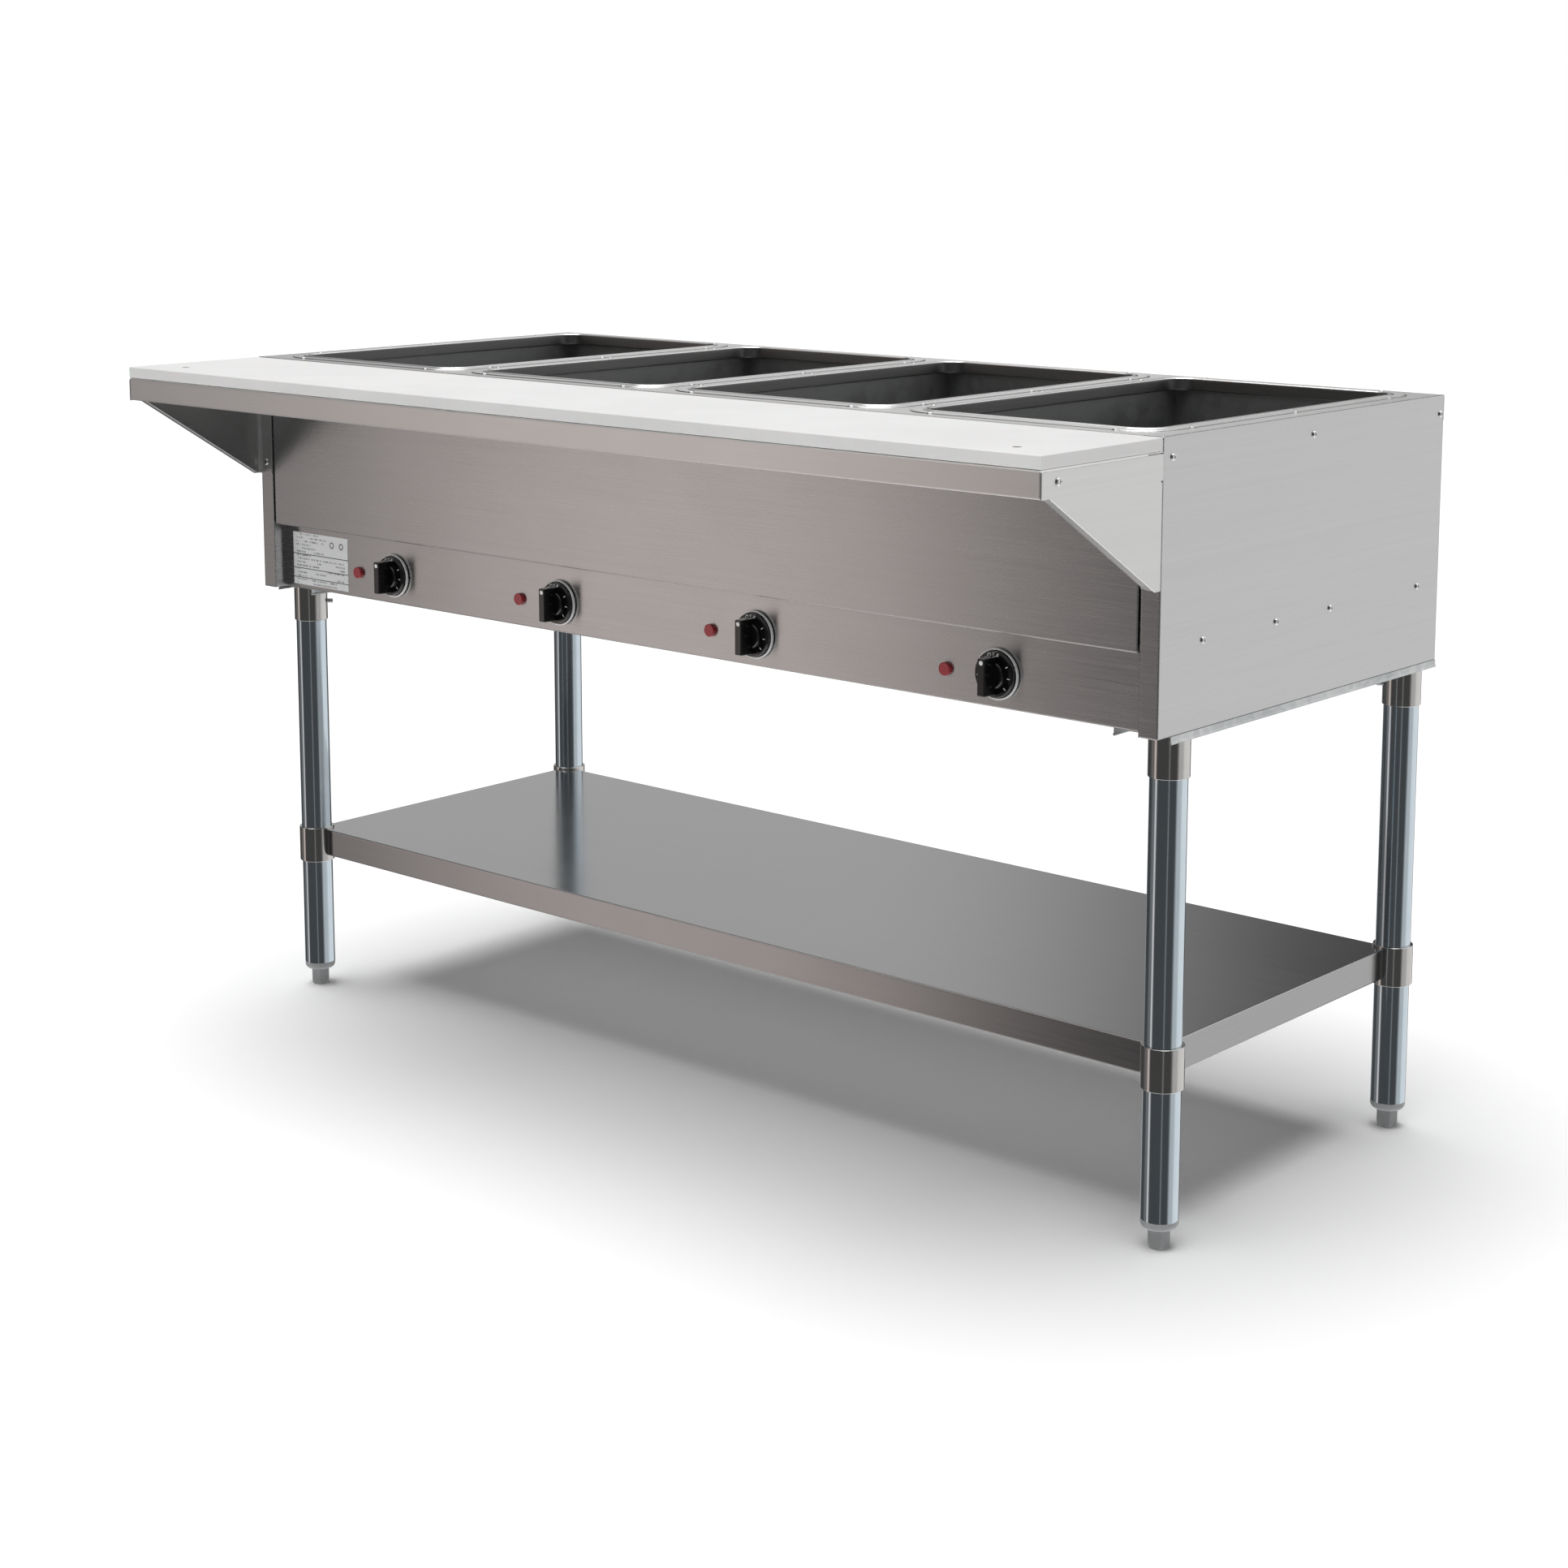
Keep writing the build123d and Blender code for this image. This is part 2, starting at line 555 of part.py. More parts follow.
def leg_cap(x, y):
    """Plastic end cap: domed collar below the tube and a plug inside it."""
    cap = upright(LEG_RADIUS, CAP_Z0, TUBE_Z0, x, y)
    cap = fillet(edges_at(cap, "z", CAP_Z0), 7.0)
    cap += upright(LEG_RADIUS - LEG_WALL - 0.05, TUBE_Z0 - 1, TUBE_Z0 + 26, x, y)
    return cap - upright(STUD_RADIUS + SLIDE_CLEARANCE, 0, TUBE_Z0 + 40, x, y)


def foot(x, y):
    """Adjustable foot: hexagonal body with a rounded sole on a threaded stud."""
    body = extrude(RegularPolygon(12.6, 6, rotation=14), HEX_TOP_Z)
    sole = Solid.make_cone(10.6, 13.4, 7.0)
    body = body - (upright(40, 0, 7.0) - sole)
    body += upright(STUD_RADIUS, HEX_TOP_Z - 1, HEX_TOP_Z + 44.0)
    return Pos(x, y, 0) * body


SHELF_X = LEG_X
SHELF_Y0, SHELF_Y1 = FRONT_Y + 58.0, FRONT_Y + 543.0
SHELF_DROP = 36.0


def undershelf():
    """Shelf pan with turned-down sides, cut round its corner collars."""
    z = UNDERSHELF_TOP_Z
    shelf = slab(-SHELF_X, SHELF_X, SHELF_Y0, SHELF_Y1, z - SHELF_DROP, z)
    shelf = fillet(edges_at(shelf, "z", z), 1.6)
    shelf -= slab(-SHELF_X + SHEET, SHELF_X - SHEET, SHELF_Y0 + SHEET, SHELF_Y1 - SHEET, z - 99, z - SHEET)
    hem = 9.0
    low = z - SHELF_DROP
    for side in (-1, 1):
        shelf += slab(side * SHELF_X, side * (SHELF_X - hem), SHELF_Y0, SHELF_Y1, low, low + SHEET)
    shelf += slab(-SHELF_X, SHELF_X, SHELF_Y0, SHELF_Y0 + hem, low, low + SHEET)
    shelf += slab(-SHELF_X, SHELF_X, SHELF_Y1 - hem, SHELF_Y1, low, low + SHEET)
    for x, y in LEGS:
        shelf -= upright(COLLAR_RADIUS, 0, DECK_Z, x, y)
    return shelf


def shelf_stiffener():
    """Hat-section stiffener along the underside of the shelf."""
    y = (SHELF_Y0 + SHELF_Y1) / 2
    top = UNDERSHELF_TOP_Z - SHEET
    x = SHELF_X - 40
    hat = slab(-x, x, y - 40, y + 40, top - 26, top)
    hat -= slab(-WIDE, WIDE, y - 40 + SHEET, y + 40 - SHEET, top - 26 + SHEET, top + 1)
    for side in (-1, 1):
        hat += slab(-x, x, y + side * 40, y + side * 58, top - SHEET, top)
    return hat


def shelf_collars():
    """Stainless collars at the shelf's corners, sliding on the legs."""
    collars = []
    for x, y in LEGS:
        collar = upright(COLLAR_RADIUS, COLLAR_Z0, COLLAR_Z1, x, y)
        collar = fillet(edges_at(collar, "z", COLLAR_Z0) + edges_at(collar, "z", COLLAR_Z1), 0.6)
        collar -= upright(LEG_RADIUS + SLIDE_CLEARANCE, COLLAR_Z0 - 1, COLLAR_Z1 + 1, x, y)
        collars.append(collar - inward_tool(x, y, COLLAR_Z0 + 25))
    return Compound(children=collars)


# --- work shelf ---------------------------------------------------------------------------------------------------
SHELF_PLATE_Z = 871.2
APRON_Z = 842.6
SUPPORT_X = BRACKET_X - SHEET
BOARD_Z0 = SHELF_PLATE_Z + 0.4
PIN_SPOTS = [(side * 669.0, FRONT_Y - 165.0) for side in (-1, 1)]
PIN_RADIUS = 5.0


def board_shelf():
    """Channel that carries the cutting board, with front apron, rear flange and end flanges."""
    x, z = SUPPORT_X, SHELF_PLATE_Z
    rear = FRONT_Y
    shelf = slab(-x, x, EDGE_Y, rear, APRON_Z, z)
    shelf = fillet(edges_between(shelf, ("y", EDGE_Y), ("z", z)), 2.4)
    shelf = fillet(edges_between(shelf, ("y", EDGE_Y), ("z", APRON_Z)), 1.0)
    shelf -= slab(-x + SHEET, x - SHEET, EDGE_Y + SHEET, rear - SHEET, APRON_Z + SHEET, z - SHEET)
    shelf -= slab(-WIDE, WIDE, EDGE_Y + 14, rear - SHEET, APRON_Z - 1, APRON_Z + SHEET + 1)
    for side in (-1, 1):
        shelf -= slab(side * (x - SHEET - 1), side * WIDE, rear - 26, rear + 1, 0, z - SHEET)
    for px, py in PIN_SPOTS:
        shelf -= upright(PIN_RADIUS - 1.5, z - 5, z + 5, px, py)
    return drilled(shelf, bracket_screw_places(1) + bracket_screw_places(-1))


BRACKET_TOP_Z, BRACKET_TIP_Z, FOLD_TOP_Z = 869.0, 728.0, 840.0
FOLD_RADIUS = 3.0


def board_bracket(side):
    """Triangular gusset at one end of the work shelf, folded onto the corner post and along its slope."""
    low, relief = APRON_Z - 0.6, FRONT_Y - FOLD_RADIUS - SHEET
    slope_foot, slope_head = (relief - 8.0, BRACKET_TIP_Z), (EDGE_Y + 14, low)
    outline = [
        (EDGE_Y, BRACKET_TOP_Z), (FRONT_Y, BRACKET_TOP_Z), (FRONT_Y, FOLD_TOP_Z + 1.5), (relief, FOLD_TOP_Z + 1.5),
        (relief, BRACKET_TIP_Z), slope_foot, slope_head, (EDGE_Y, low),
    ]
    plate = extrude(Plane.YZ * make_face(Polyline(*outline, close=True)), SHEET)
    bracket = Pos(SUPPORT_X if side > 0 else -BRACKET_X, 0, 0) * plate
    outer = side * BRACKET_X
    fold = slab(outer, outer - side * (FOLD_RADIUS + SHEET), relief, FRONT_Y, BRACKET_TIP_Z, FOLD_TOP_Z)
    fold = fillet(edges_between(fold, ("x", outer), ("y", FRONT_Y)), FOLD_RADIUS)
    flange_x = side * (END_X - POST_WIDTH)
    bracket += fold
    bracket += slab(
        outer - side * FOLD_RADIUS, flange_x, FRONT_Y - SHEET, FRONT_Y, BRACKET_TIP_Z, FOLD_TOP_Z
    )
    run = math.dist(slope_foot, slope_head)
    tilt = math.degrees(math.atan2(slope_head[1] - slope_foot[1], slope_head[0] - slope_foot[0]))
    inside = -SHEET / 2  # the slope's flange lies within the outline
    hem = Pos(outer - side * 5.5, *slope_foot) * Rot(tilt, 0, 0) * Pos(0, run / 2, inside)
    bracket += hem * Box(11.0, run - 6.0, SHEET)
    return drilled(bracket, bracket_screw_places(side))


def locating_pins():
    """Shouldered pins on the shelf that the board drops over."""
    pins = []
    for x, y in PIN_SPOTS:
        pin = upright(PIN_RADIUS, SHELF_PLATE_Z, BOARD_Z0 + BOARD_THICKNESS - 1.6, x, y)
        pin = fillet(edges_at(pin, "z", BOARD_Z0 + BOARD_THICKNESS - 1.6), 1.0)
        pins.append(pin + upright(PIN_RADIUS - 1.5, SHELF_PLATE_Z - 6, SHELF_PLATE_Z + 1, x, y))
    return Compound(children=pins)


def cutting_board():
    """White board with two locating holes."""
    half = BOARD_LENGTH / 2
    board = slab(-half, half, EDGE_Y, FRONT_Y - 2.0, BOARD_Z0, BOARD_Z0 + BOARD_THICKNESS)
    board = fillet(board.edges(), 1.2)
    for x, y in PIN_SPOTS:
        board -= upright(PIN_RADIUS + SLIDE_CLEARANCE, BOARD_Z0 - 1, DECK_Z + 1, x, y)
    return board


# --- assembly -----------------------------------------------------------------------------------------------------
def assembly():
    """Every node by name."""
    parts = {
        "deck_top": deck_top(),
        "end_panel_left": end_panel(-1),
        "end_panel_right": end_panel(1),
        "rear_panel": rear_panel(),
        "front_panel_upper": front_panel_upper(),
        "control_panel": control_panel(),
        "bottom_pan": bottom_pan(),
        "heat_shield_tray": heat_shield_tray(),
        "well_insulation": well_insulation(),
        "element_saddles": element_saddles(),
        "element_glands": element_glands(),
        "thermostat_nuts": thermostat_nuts(),
        "lamp_lenses": lamp_lenses(),
        "lamp_bodies": lamp_bodies(),
        "rating_plate": rating_plate(),
        "cable_gland": cable_gland(),
        "terminal_block": terminal_block(),
        "leg_rail_left": leg_rail(-1),
        "leg_rail_right": leg_rail(1),
        "leg_sockets": leg_sockets(),
        "socket_set_screws": set_screws(SOCKET_TOP_Z - SOCKET_LENGTH + 25, LEG_RADIUS),
        "undershelf": undershelf(),
        "shelf_stiffener": shelf_stiffener(),
        "shelf_collars": shelf_collars(),
        "collar_set_screws": set_screws(COLLAR_Z0 + 25, LEG_RADIUS + 0.4),
        "board_shelf": board_shelf(),
        "board_bracket_left": board_bracket(-1),
        "board_bracket_right": board_bracket(1),
        "locating_pins": locating_pins(),
        "cutting_board": cutting_board(),
        "end_panel_screws": screws(end_screw_places(-1) + end_screw_places(1)),
        "rear_panel_screws": screws(rear_screw_places()),
        "bracket_screws": screws(bracket_screw_places(-1) + bracket_screw_places(1), head_radius=4.6),
    }
    for index, x in enumerate(WELL_XS, start=1):
        parts[f"well_liner_{index}"] = well_liner(x)
        parts[f"heating_element_{index}"] = heating_element(x)
    for index, x in enumerate(KNOB_XS, start=1):
        parts[f"thermostat_{index}"] = thermostat(x)
        parts[f"knob_{index}"] = knob(x)
        parts[f"knob_shaft_{index}"] = knob_shaft(x)
    parts["leg_caps"] = Compound(children=[leg_cap(x, y) for x, y in LEGS])
    parts["leg_tubes"] = Compound(children=[leg_tube(x, y) for x, y in LEGS])
    for index, (x, y) in enumerate(LEGS, start=1):
        parts[f"foot_{index}"] = foot(x, y)
    return parts


os.makedirs("parts", exist_ok=True)
for node, shape in assembly().items():
    export_step(shape, f"parts/{node}.step")
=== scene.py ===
"""Looks of a four-well electric steam table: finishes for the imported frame, dial trim, studio and camera."""

from __future__ import annotations

import json
import logging
import math
from dataclasses import dataclass, field
from enum import Enum
from typing import Any, Iterable, Mapping

import bpy
from mathutils import Matrix, Vector

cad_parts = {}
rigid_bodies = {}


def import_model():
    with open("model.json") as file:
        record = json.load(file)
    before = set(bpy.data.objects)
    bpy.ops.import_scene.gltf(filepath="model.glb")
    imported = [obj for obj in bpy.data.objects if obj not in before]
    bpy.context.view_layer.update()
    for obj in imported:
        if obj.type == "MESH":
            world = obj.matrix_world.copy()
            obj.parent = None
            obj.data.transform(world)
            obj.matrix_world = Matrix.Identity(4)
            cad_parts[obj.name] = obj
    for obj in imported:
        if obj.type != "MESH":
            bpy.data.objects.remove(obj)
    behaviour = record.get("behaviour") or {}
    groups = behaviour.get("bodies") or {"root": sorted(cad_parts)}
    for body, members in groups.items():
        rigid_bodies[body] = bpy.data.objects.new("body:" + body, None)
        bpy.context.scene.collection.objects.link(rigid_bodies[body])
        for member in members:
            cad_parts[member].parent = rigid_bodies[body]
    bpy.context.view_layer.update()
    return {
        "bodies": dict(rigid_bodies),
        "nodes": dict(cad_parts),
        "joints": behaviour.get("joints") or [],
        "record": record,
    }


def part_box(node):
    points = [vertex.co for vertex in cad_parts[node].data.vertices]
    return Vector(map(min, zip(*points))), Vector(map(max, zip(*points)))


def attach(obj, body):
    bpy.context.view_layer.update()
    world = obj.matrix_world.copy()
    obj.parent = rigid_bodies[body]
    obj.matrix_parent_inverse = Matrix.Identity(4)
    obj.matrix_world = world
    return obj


LOG = logging.getLogger("steam_table")
MM = 0.001

Socket = bpy.types.NodeSocket
Node = bpy.types.Node
Tree = bpy.types.NodeTree


# --- colours and nodes ----------------------------------------------------------------------------
def linear(code: str, alpha: float = 1.0) -> tuple[float, float, float, float]:
    """Turn an sRGB hex colour into linear RGBA.

    Args:
        code: Six hex digits, with or without a leading hash.
        alpha: Opacity to append.

    Returns:
        Linear red, green, blue and alpha.
    """
    digits = code.lstrip("#")
    channels = (int(digits[i : i + 2], 16) / 255 for i in (0, 2, 4))
    red, green, blue = (c / 12.92 if c <= 0.04045 else ((c + 0.055) / 1.055) ** 2.4 for c in channels)
    return red, green, blue, alpha


def per_metre(size_mm: float) -> float:
    """Texture scale whose feature is size_mm across, for coordinates in metres."""
    return 1000.0 / size_mm


def add(tree: Tree, kind: str, inputs: Mapping[Any, Any] | None = None, **settings: Any) -> Node:
    """Add a node with its settings, and link or set its inputs.

    Args:
        tree: The node tree to add to.
        kind: The node's type name.
        inputs: Socket name or number to a value, or to a socket that feeds it.
        **settings: Attributes of the node itself.

    Returns:
        The new node.
    """
    node = tree.nodes.new(kind)
    for name, value in settings.items():
        setattr(node, name, value)
    for key, value in (inputs or {}).items():
        if isinstance(value, Socket):
            tree.links.new(value, node.inputs[key])
        else:
            node.inputs[key].default_value = value
    return node


def ramp(tree: Tree, factor: Socket, stops: Iterable[tuple[float, tuple[float, ...]]]) -> Socket:
    """Colour a factor by stops.

    Args:
        tree: The node tree to add to.
        factor: The value that picks the colour.
        stops: Pairs of position and linear colour, in order.

    Returns:
        The colour socket.
    """
    node = add(tree, "ShaderNodeValToRGB", {"Fac": factor})
    elements = node.color_ramp.elements
    listed = list(stops)
    while len(elements) < len(listed):
        elements.new(0.5)
    for element, (position, colour) in zip(elements, listed):
        element.position = position
        element.color = colour
    return node.outputs["Color"]


class Blank:
    """An empty surface material with its shader and its coordinates, ready for a pattern."""

    OFF_LATTICE = (0.0113, 0.0127, 0.0139)  # keeps faces at zero off the noise's own grid planes
    EDGE_SAMPLES = 6

    def __init__(self, name: str) -> None:
        """Make the material and its Principled shader."""
        self.material = bpy.data.materials.new(name)
        self.material.use_nodes = True
        self.tree: Tree = self.material.node_tree
        self.tree.nodes.clear()
        self.shader = add(self.tree, "ShaderNodeBsdfPrincipled")
        add(self.tree, "ShaderNodeOutputMaterial", {"Surface": self.shader.outputs["BSDF"]})
        self.where = add(self.tree, "ShaderNodeTexCoord").outputs["Object"]

    def set(self, **values: Any) -> None:
        """Set shader sockets by name, with underscores for spaces."""
        for name, value in values.items():
            socket = self.shader.inputs[name.replace("_", " ")]
            if isinstance(value, Socket):
                self.tree.links.new(value, socket)
            else:
                socket.default_value = value

    def stretched(self, scale: Vector | tuple[float, float, float]) -> Socket:
        """Coordinates scaled axis by axis."""
        inputs = {"Vector": self.where, "Scale": scale, "Location": self.OFF_LATTICE}
        node = add(self.tree, "ShaderNodeMapping", inputs)
        return node.outputs["Vector"]

    def noise(self, vector: Socket, scale: float, detail: float = 3.0, rough: float = 0.55) -> Socket:
        """Grey noise, 0 to 1, on the given coordinates."""
        inputs = {"Vector": vector, "Scale": scale, "Detail": detail, "Roughness": rough}
        return add(self.tree, "ShaderNodeTexNoise", inputs).outputs["Fac"]

    def remap(self, value: Socket, low: float, high: float, start: float = 0.3, end: float = 0.7) -> Socket:
        """A value remapped from start..end to low..high."""
        inputs = {"Value": value, "From Min": start, "From Max": end, "To Min": low, "To Max": high}
        return add(self.tree, "ShaderNodeMapRange", inputs).outputs["Result"]

    def tint(self, value: Socket, dark: str, light: str, start: float = 0.3, end: float = 0.7) -> Socket:
        """A colour between two hex codes, picked by a value."""
        return ramp(self.tree, value, [(start, linear(dark)), (end, linear(light))])

    def maths(self, operation: str, first: Any, second: Any = 0.5, third: Any = 0.5) -> Socket:
        """One arithmetic step."""
        inputs = {0: first, 1: second, 2: third}
        return add(self.tree, "ShaderNodeMath", inputs, operation=operation).outputs[0]

    def near(self, value: Socket, middle: float, half: float) -> Socket:
        """1 where a value is within half of middle, 0 elsewhere."""
        return self.maths("COMPARE", value, middle, half)

    def bump(self, height: Socket, depth_mm: float, edge_mm: float = 0.0) -> Socket:
        """A bumped normal.

        Args:
            height: Height of 0 to 1.
            depth_mm: What a height of 1 stands for.
            edge_mm: Radius to which edges look rounded, or 0 to leave them sharp.

        Returns:
            The normal socket.
        """
        inputs: dict[str, Any] = {"Height": height, "Strength": 1.0, "Distance": depth_mm * MM}
        if edge_mm > 0:
            rounded = add(self.tree, "ShaderNodeBevel", {"Radius": edge_mm * MM}, samples=self.EDGE_SAMPLES)
            inputs["Normal"] = rounded.outputs["Normal"]
        return add(self.tree, "ShaderNodeBump", inputs).outputs["Normal"]


# --- finishes -------------------------------------------------------------------------------------
@dataclass(frozen=True)
class BrushedSheet:
    """Stainless sheet with a No. 4 satin finish.

    Painted shade: upright faces keep only the share `upright` of the sheet's colour inside the level box
    `within`, which is given as middle and half size along X, then along Y, in metres; this darkening stands in
    for shade there.
    """

    name: str = "stainless_no4_brushed_sheet"
    dark: str = "#c1c1c1"
    light: str = "#c8c8c8"
    roughness: float = 0.25
    anisotropy: float = 0.85
    grain_mm: float = 1.1
    grain_length_mm: float = 160.0
    streak_mm: float = 6.0
    wipe_mm: float = 140.0
    bump_mm: float = 0.003
    fold_mm: float = 2.4
    # share of the colour kept on upright faces inside `within`: painted shade, 1.0 for none
    upright: float = 1.0
    within: tuple[float, float, float, float] = (0.0, 2.0, 0.0, 2.0)

    def build(self) -> bpy.types.Material:
        """Make the material: the eye sees fine level lines, drawn-out highlights and bright folds.

        Real lines are about 0.1 mm apart; they are drawn coarser so that they show from across a room.
        """
        b = Blank(self.name)
        normal = add(b.tree, "ShaderNodeNewGeometry").outputs["True Normal"]
        apart = add(b.tree, "ShaderNodeSeparateXYZ", {"Vector": normal})
        lies_flat = b.maths("GREATER_THAN", b.maths("ABSOLUTE", apart.outputs["Z"]), 0.5)
        place = add(b.tree, "ShaderNodeSeparateXYZ", {"Vector": b.where})
        in_x = b.near(place.outputs["X"], *self.within[:2])
        in_y = b.near(place.outputs["Y"], *self.within[2:])
        # painted shade: upright faces inside the box get a darker base colour in place of real shade
        painted_shade_mask = b.maths("MULTIPLY", b.maths("MULTIPLY", in_x, in_y), b.maths("SUBTRACT", 1.0, lies_flat))
        level = b.maths("MULTIPLY_ADD", painted_shade_mask, self.upright - 1.0, 1.0)
        faces_end = b.maths("GREATER_THAN", b.maths("ABSOLUTE", apart.outputs["X"]), 0.7)
        ratio = self.grain_mm / self.grain_length_mm
        along_x = b.stretched((ratio, 1.0, 1.0))
        along_y = b.stretched((1.0, ratio, 1.0))
        choice = {"Factor": faces_end, 4: along_x, 5: along_y}  # 4 and 5 are the vector inputs A and B
        mixed = add(b.tree, "ShaderNodeMix", choice, data_type="VECTOR")
        lines = mixed.outputs[1]
        fine = b.noise(lines, per_metre(self.grain_mm), 4.0, 0.7)
        streaks = b.noise(lines, per_metre(self.streak_mm), 2.0, 0.5)
        wiped = b.noise(b.where, per_metre(self.wipe_mm), 2.0, 0.5)
        both = b.maths("MULTIPLY_ADD", streaks, 0.35, b.maths("MULTIPLY", fine, 0.65))
        colour = b.tint(both, self.dark, self.light, 0.3, 0.7)
        shade = add(b.tree, "ShaderNodeVectorMath", {0: colour, "Scale": level}, operation="SCALE")
        b.set(
            Base_Color=shade.outputs[0],
            Metallic=1.0,
            Roughness=b.maths(
                "ADD",
                b.remap(fine, self.roughness - 0.02, self.roughness + 0.03, 0.35, 0.65),
                b.remap(wiped, -0.01, 0.015),
            ),
            Anisotropic=self.anisotropy,
            Tangent=add(b.tree, "ShaderNodeCombineXYZ", {"X": 0.0, "Y": 0.03, "Z": 1.0}).outputs["Vector"],
            Normal=b.bump(fine, self.bump_mm, self.fold_mm),
        )
        return b.material


@dataclass(frozen=True)
class TubeMetal:
    """Polished or zinc-coated tube, with fine lines left by drawing or polishing."""

    name: str
    dark: str
    light: str
    roughness: float
    line_mm: float = 1.2
    line_length_mm: float = 60.0
    cloud_mm: float = 30.0
    bump_mm: float = 0.01
    spots: float = 0.0
    spot_mm: float = 7.0

    def build(self) -> bpy.types.Material:
        """Make the material: the eye sees sharp upright bands with thin scratches in them."""
        b = Blank(self.name)
        ratio = self.line_mm / self.line_length_mm
        lines = b.noise(b.stretched((1.0, 1.0, ratio)), per_metre(self.line_mm), 3.0, 0.65)
        clouds = b.noise(b.where, per_metre(self.cloud_mm), 4.0, 0.6)
        mix = b.maths("MULTIPLY_ADD", clouds, 0.55, b.maths("MULTIPLY", lines, 0.45))
        if self.spots > 0:
            inputs = {"Vector": b.where, "Scale": per_metre(self.spot_mm)}
            crystal = add(b.tree, "ShaderNodeTexVoronoi", inputs)
            patch = add(b.tree, "ShaderNodeSeparateColor", {"Color": crystal.outputs["Color"]}).outputs[0]
            mix = b.maths("MULTIPLY_ADD", b.maths("SUBTRACT", patch, 0.5), self.spots, mix)
        b.set(
            Base_Color=b.tint(mix, self.dark, self.light, 0.25, 0.75),
            Metallic=1.0,
            Roughness=b.remap(mix, self.roughness + 0.02, self.roughness - 0.02, 0.3, 0.7),
            Normal=b.bump(lines, self.bump_mm),
        )
        return b.material


@dataclass(frozen=True)
class ZincSheet:
    """Hot-dip galvanised sheet, with its crystal pattern."""

    name: str
    dark: str
    light: str
    roughness: float = 0.42
    crystal_mm: float = 9.0
    warp_mm: float = 4.0
    bloom_mm: float = 65.0
    bump_mm: float = 0.02

    def build(self) -> bpy.types.Material:
        """Make the material: the eye sees angular patches of slightly different grey under a bloom."""
        b = Blank(self.name)
        bent = b.noise(b.where, per_metre(20.0), 2.0)
        warp = Vector((1.0, 1.0, 1.0)) * self.warp_mm * MM
        parts = {0: bent, 1: warp, 2: b.where}
        shifted = add(b.tree, "ShaderNodeVectorMath", parts, operation="MULTIPLY_ADD")
        inputs = {"Vector": shifted.outputs["Vector"], "Scale": per_metre(self.crystal_mm)}
        cells = add(b.tree, "ShaderNodeTexVoronoi", inputs)
        patch = add(b.tree, "ShaderNodeSeparateColor", {"Color": cells.outputs["Color"]}).outputs[0]
        bloom = b.noise(b.where, per_metre(self.bloom_mm), 4.0, 0.6)
        fine = b.noise(b.where, per_metre(1.4), 3.0)
        mix = b.maths("MULTIPLY_ADD", patch, 0.3, b.maths("MULTIPLY", bloom, 0.7))
        b.set(
            Base_Color=b.tint(mix, self.dark, self.light, 0.25, 0.75),
            Metallic=1.0,
            Roughness=b.remap(mix, self.roughness + 0.08, self.roughness - 0.05, 0.3, 0.7),
            Normal=b.bump(fine, self.bump_mm),
        )
        return b.material


@dataclass(frozen=True)
class SmallMetal:
    """Plated, turned or heat-darkened small metal parts."""

    name: str
    dark: str
    light: str
    roughness: float
    cloud_mm: float = 6.0
    bump_mm: float = 0.01
    metallic: float = 1.0

    def build(self) -> bpy.types.Material:
        """Make the material: the eye sees tight highlights with a little uneven plating."""
        b = Blank(self.name)
        clouds = b.noise(b.where, per_metre(self.cloud_mm), 4.0, 0.6)
        fine = b.noise(b.where, per_metre(0.6), 2.0)
        b.set(
            Base_Color=b.tint(clouds, self.dark, self.light),
            Metallic=self.metallic,
            Roughness=b.remap(clouds, self.roughness + 0.06, self.roughness - 0.04),
            Normal=b.bump(fine, self.bump_mm),
        )
        return b.material


@dataclass(frozen=True)
class MouldedPlastic:
    """Injection or compression moulding."""

    name: str
    dark: str
    light: str
    roughness: float
    texture_mm: float = 0.9
    bump_mm: float = 0.02
    mottle_mm: float = 25.0
    coat: float = 0.0
    coat_roughness: float = 0.06
    subsurface: float = 0.0
    ior: float = 1.5

    def build(self) -> bpy.types.Material:
        """Make the material: the eye sees an even colour and a fine mould texture under a sheen."""
        b = Blank(self.name)
        mottle = b.noise(b.where, per_metre(self.mottle_mm), 3.0, 0.5)
        grain = b.noise(b.where, per_metre(self.texture_mm), 3.0, 0.6)
        b.set(
            Base_Color=b.tint(mottle, self.dark, self.light),
            Roughness=b.remap(grain, self.roughness - 0.04, self.roughness + 0.05),
            IOR=self.ior,
            Coat_Weight=self.coat,
            Coat_Roughness=self.coat_roughness,
            Subsurface_Weight=self.subsurface,
            Subsurface_Scale=2.0 * MM,
            Normal=b.bump(grain, self.bump_mm),
        )
        return b.material


@dataclass(frozen=True)
class FibreBatt:
    """Mineral-wool insulation."""

    name: str = "mineral_wool_batt"
    dark: str = "#a08d55"
    light: str = "#d8c98f"

    def build(self) -> bpy.types.Material:
        """Make the material: the eye sees matted fibres with darker hollows and no shine."""
        b = Blank(self.name)
        strands = b.noise(b.stretched((0.15, 1.0, 1.0)), per_metre(1.6), 5.0, 0.7)
        lumps = b.noise(b.where, per_metre(35.0), 3.0)
        mix = b.maths("MULTIPLY_ADD", strands, 0.6, b.maths("MULTIPLY", lumps, 0.4))
        b.set(
            Base_Color=b.tint(mix, self.dark, self.light, 0.35, 0.65),
            Roughness=0.95,
            Normal=b.bump(mix, 2.0),
        )
        return b.material


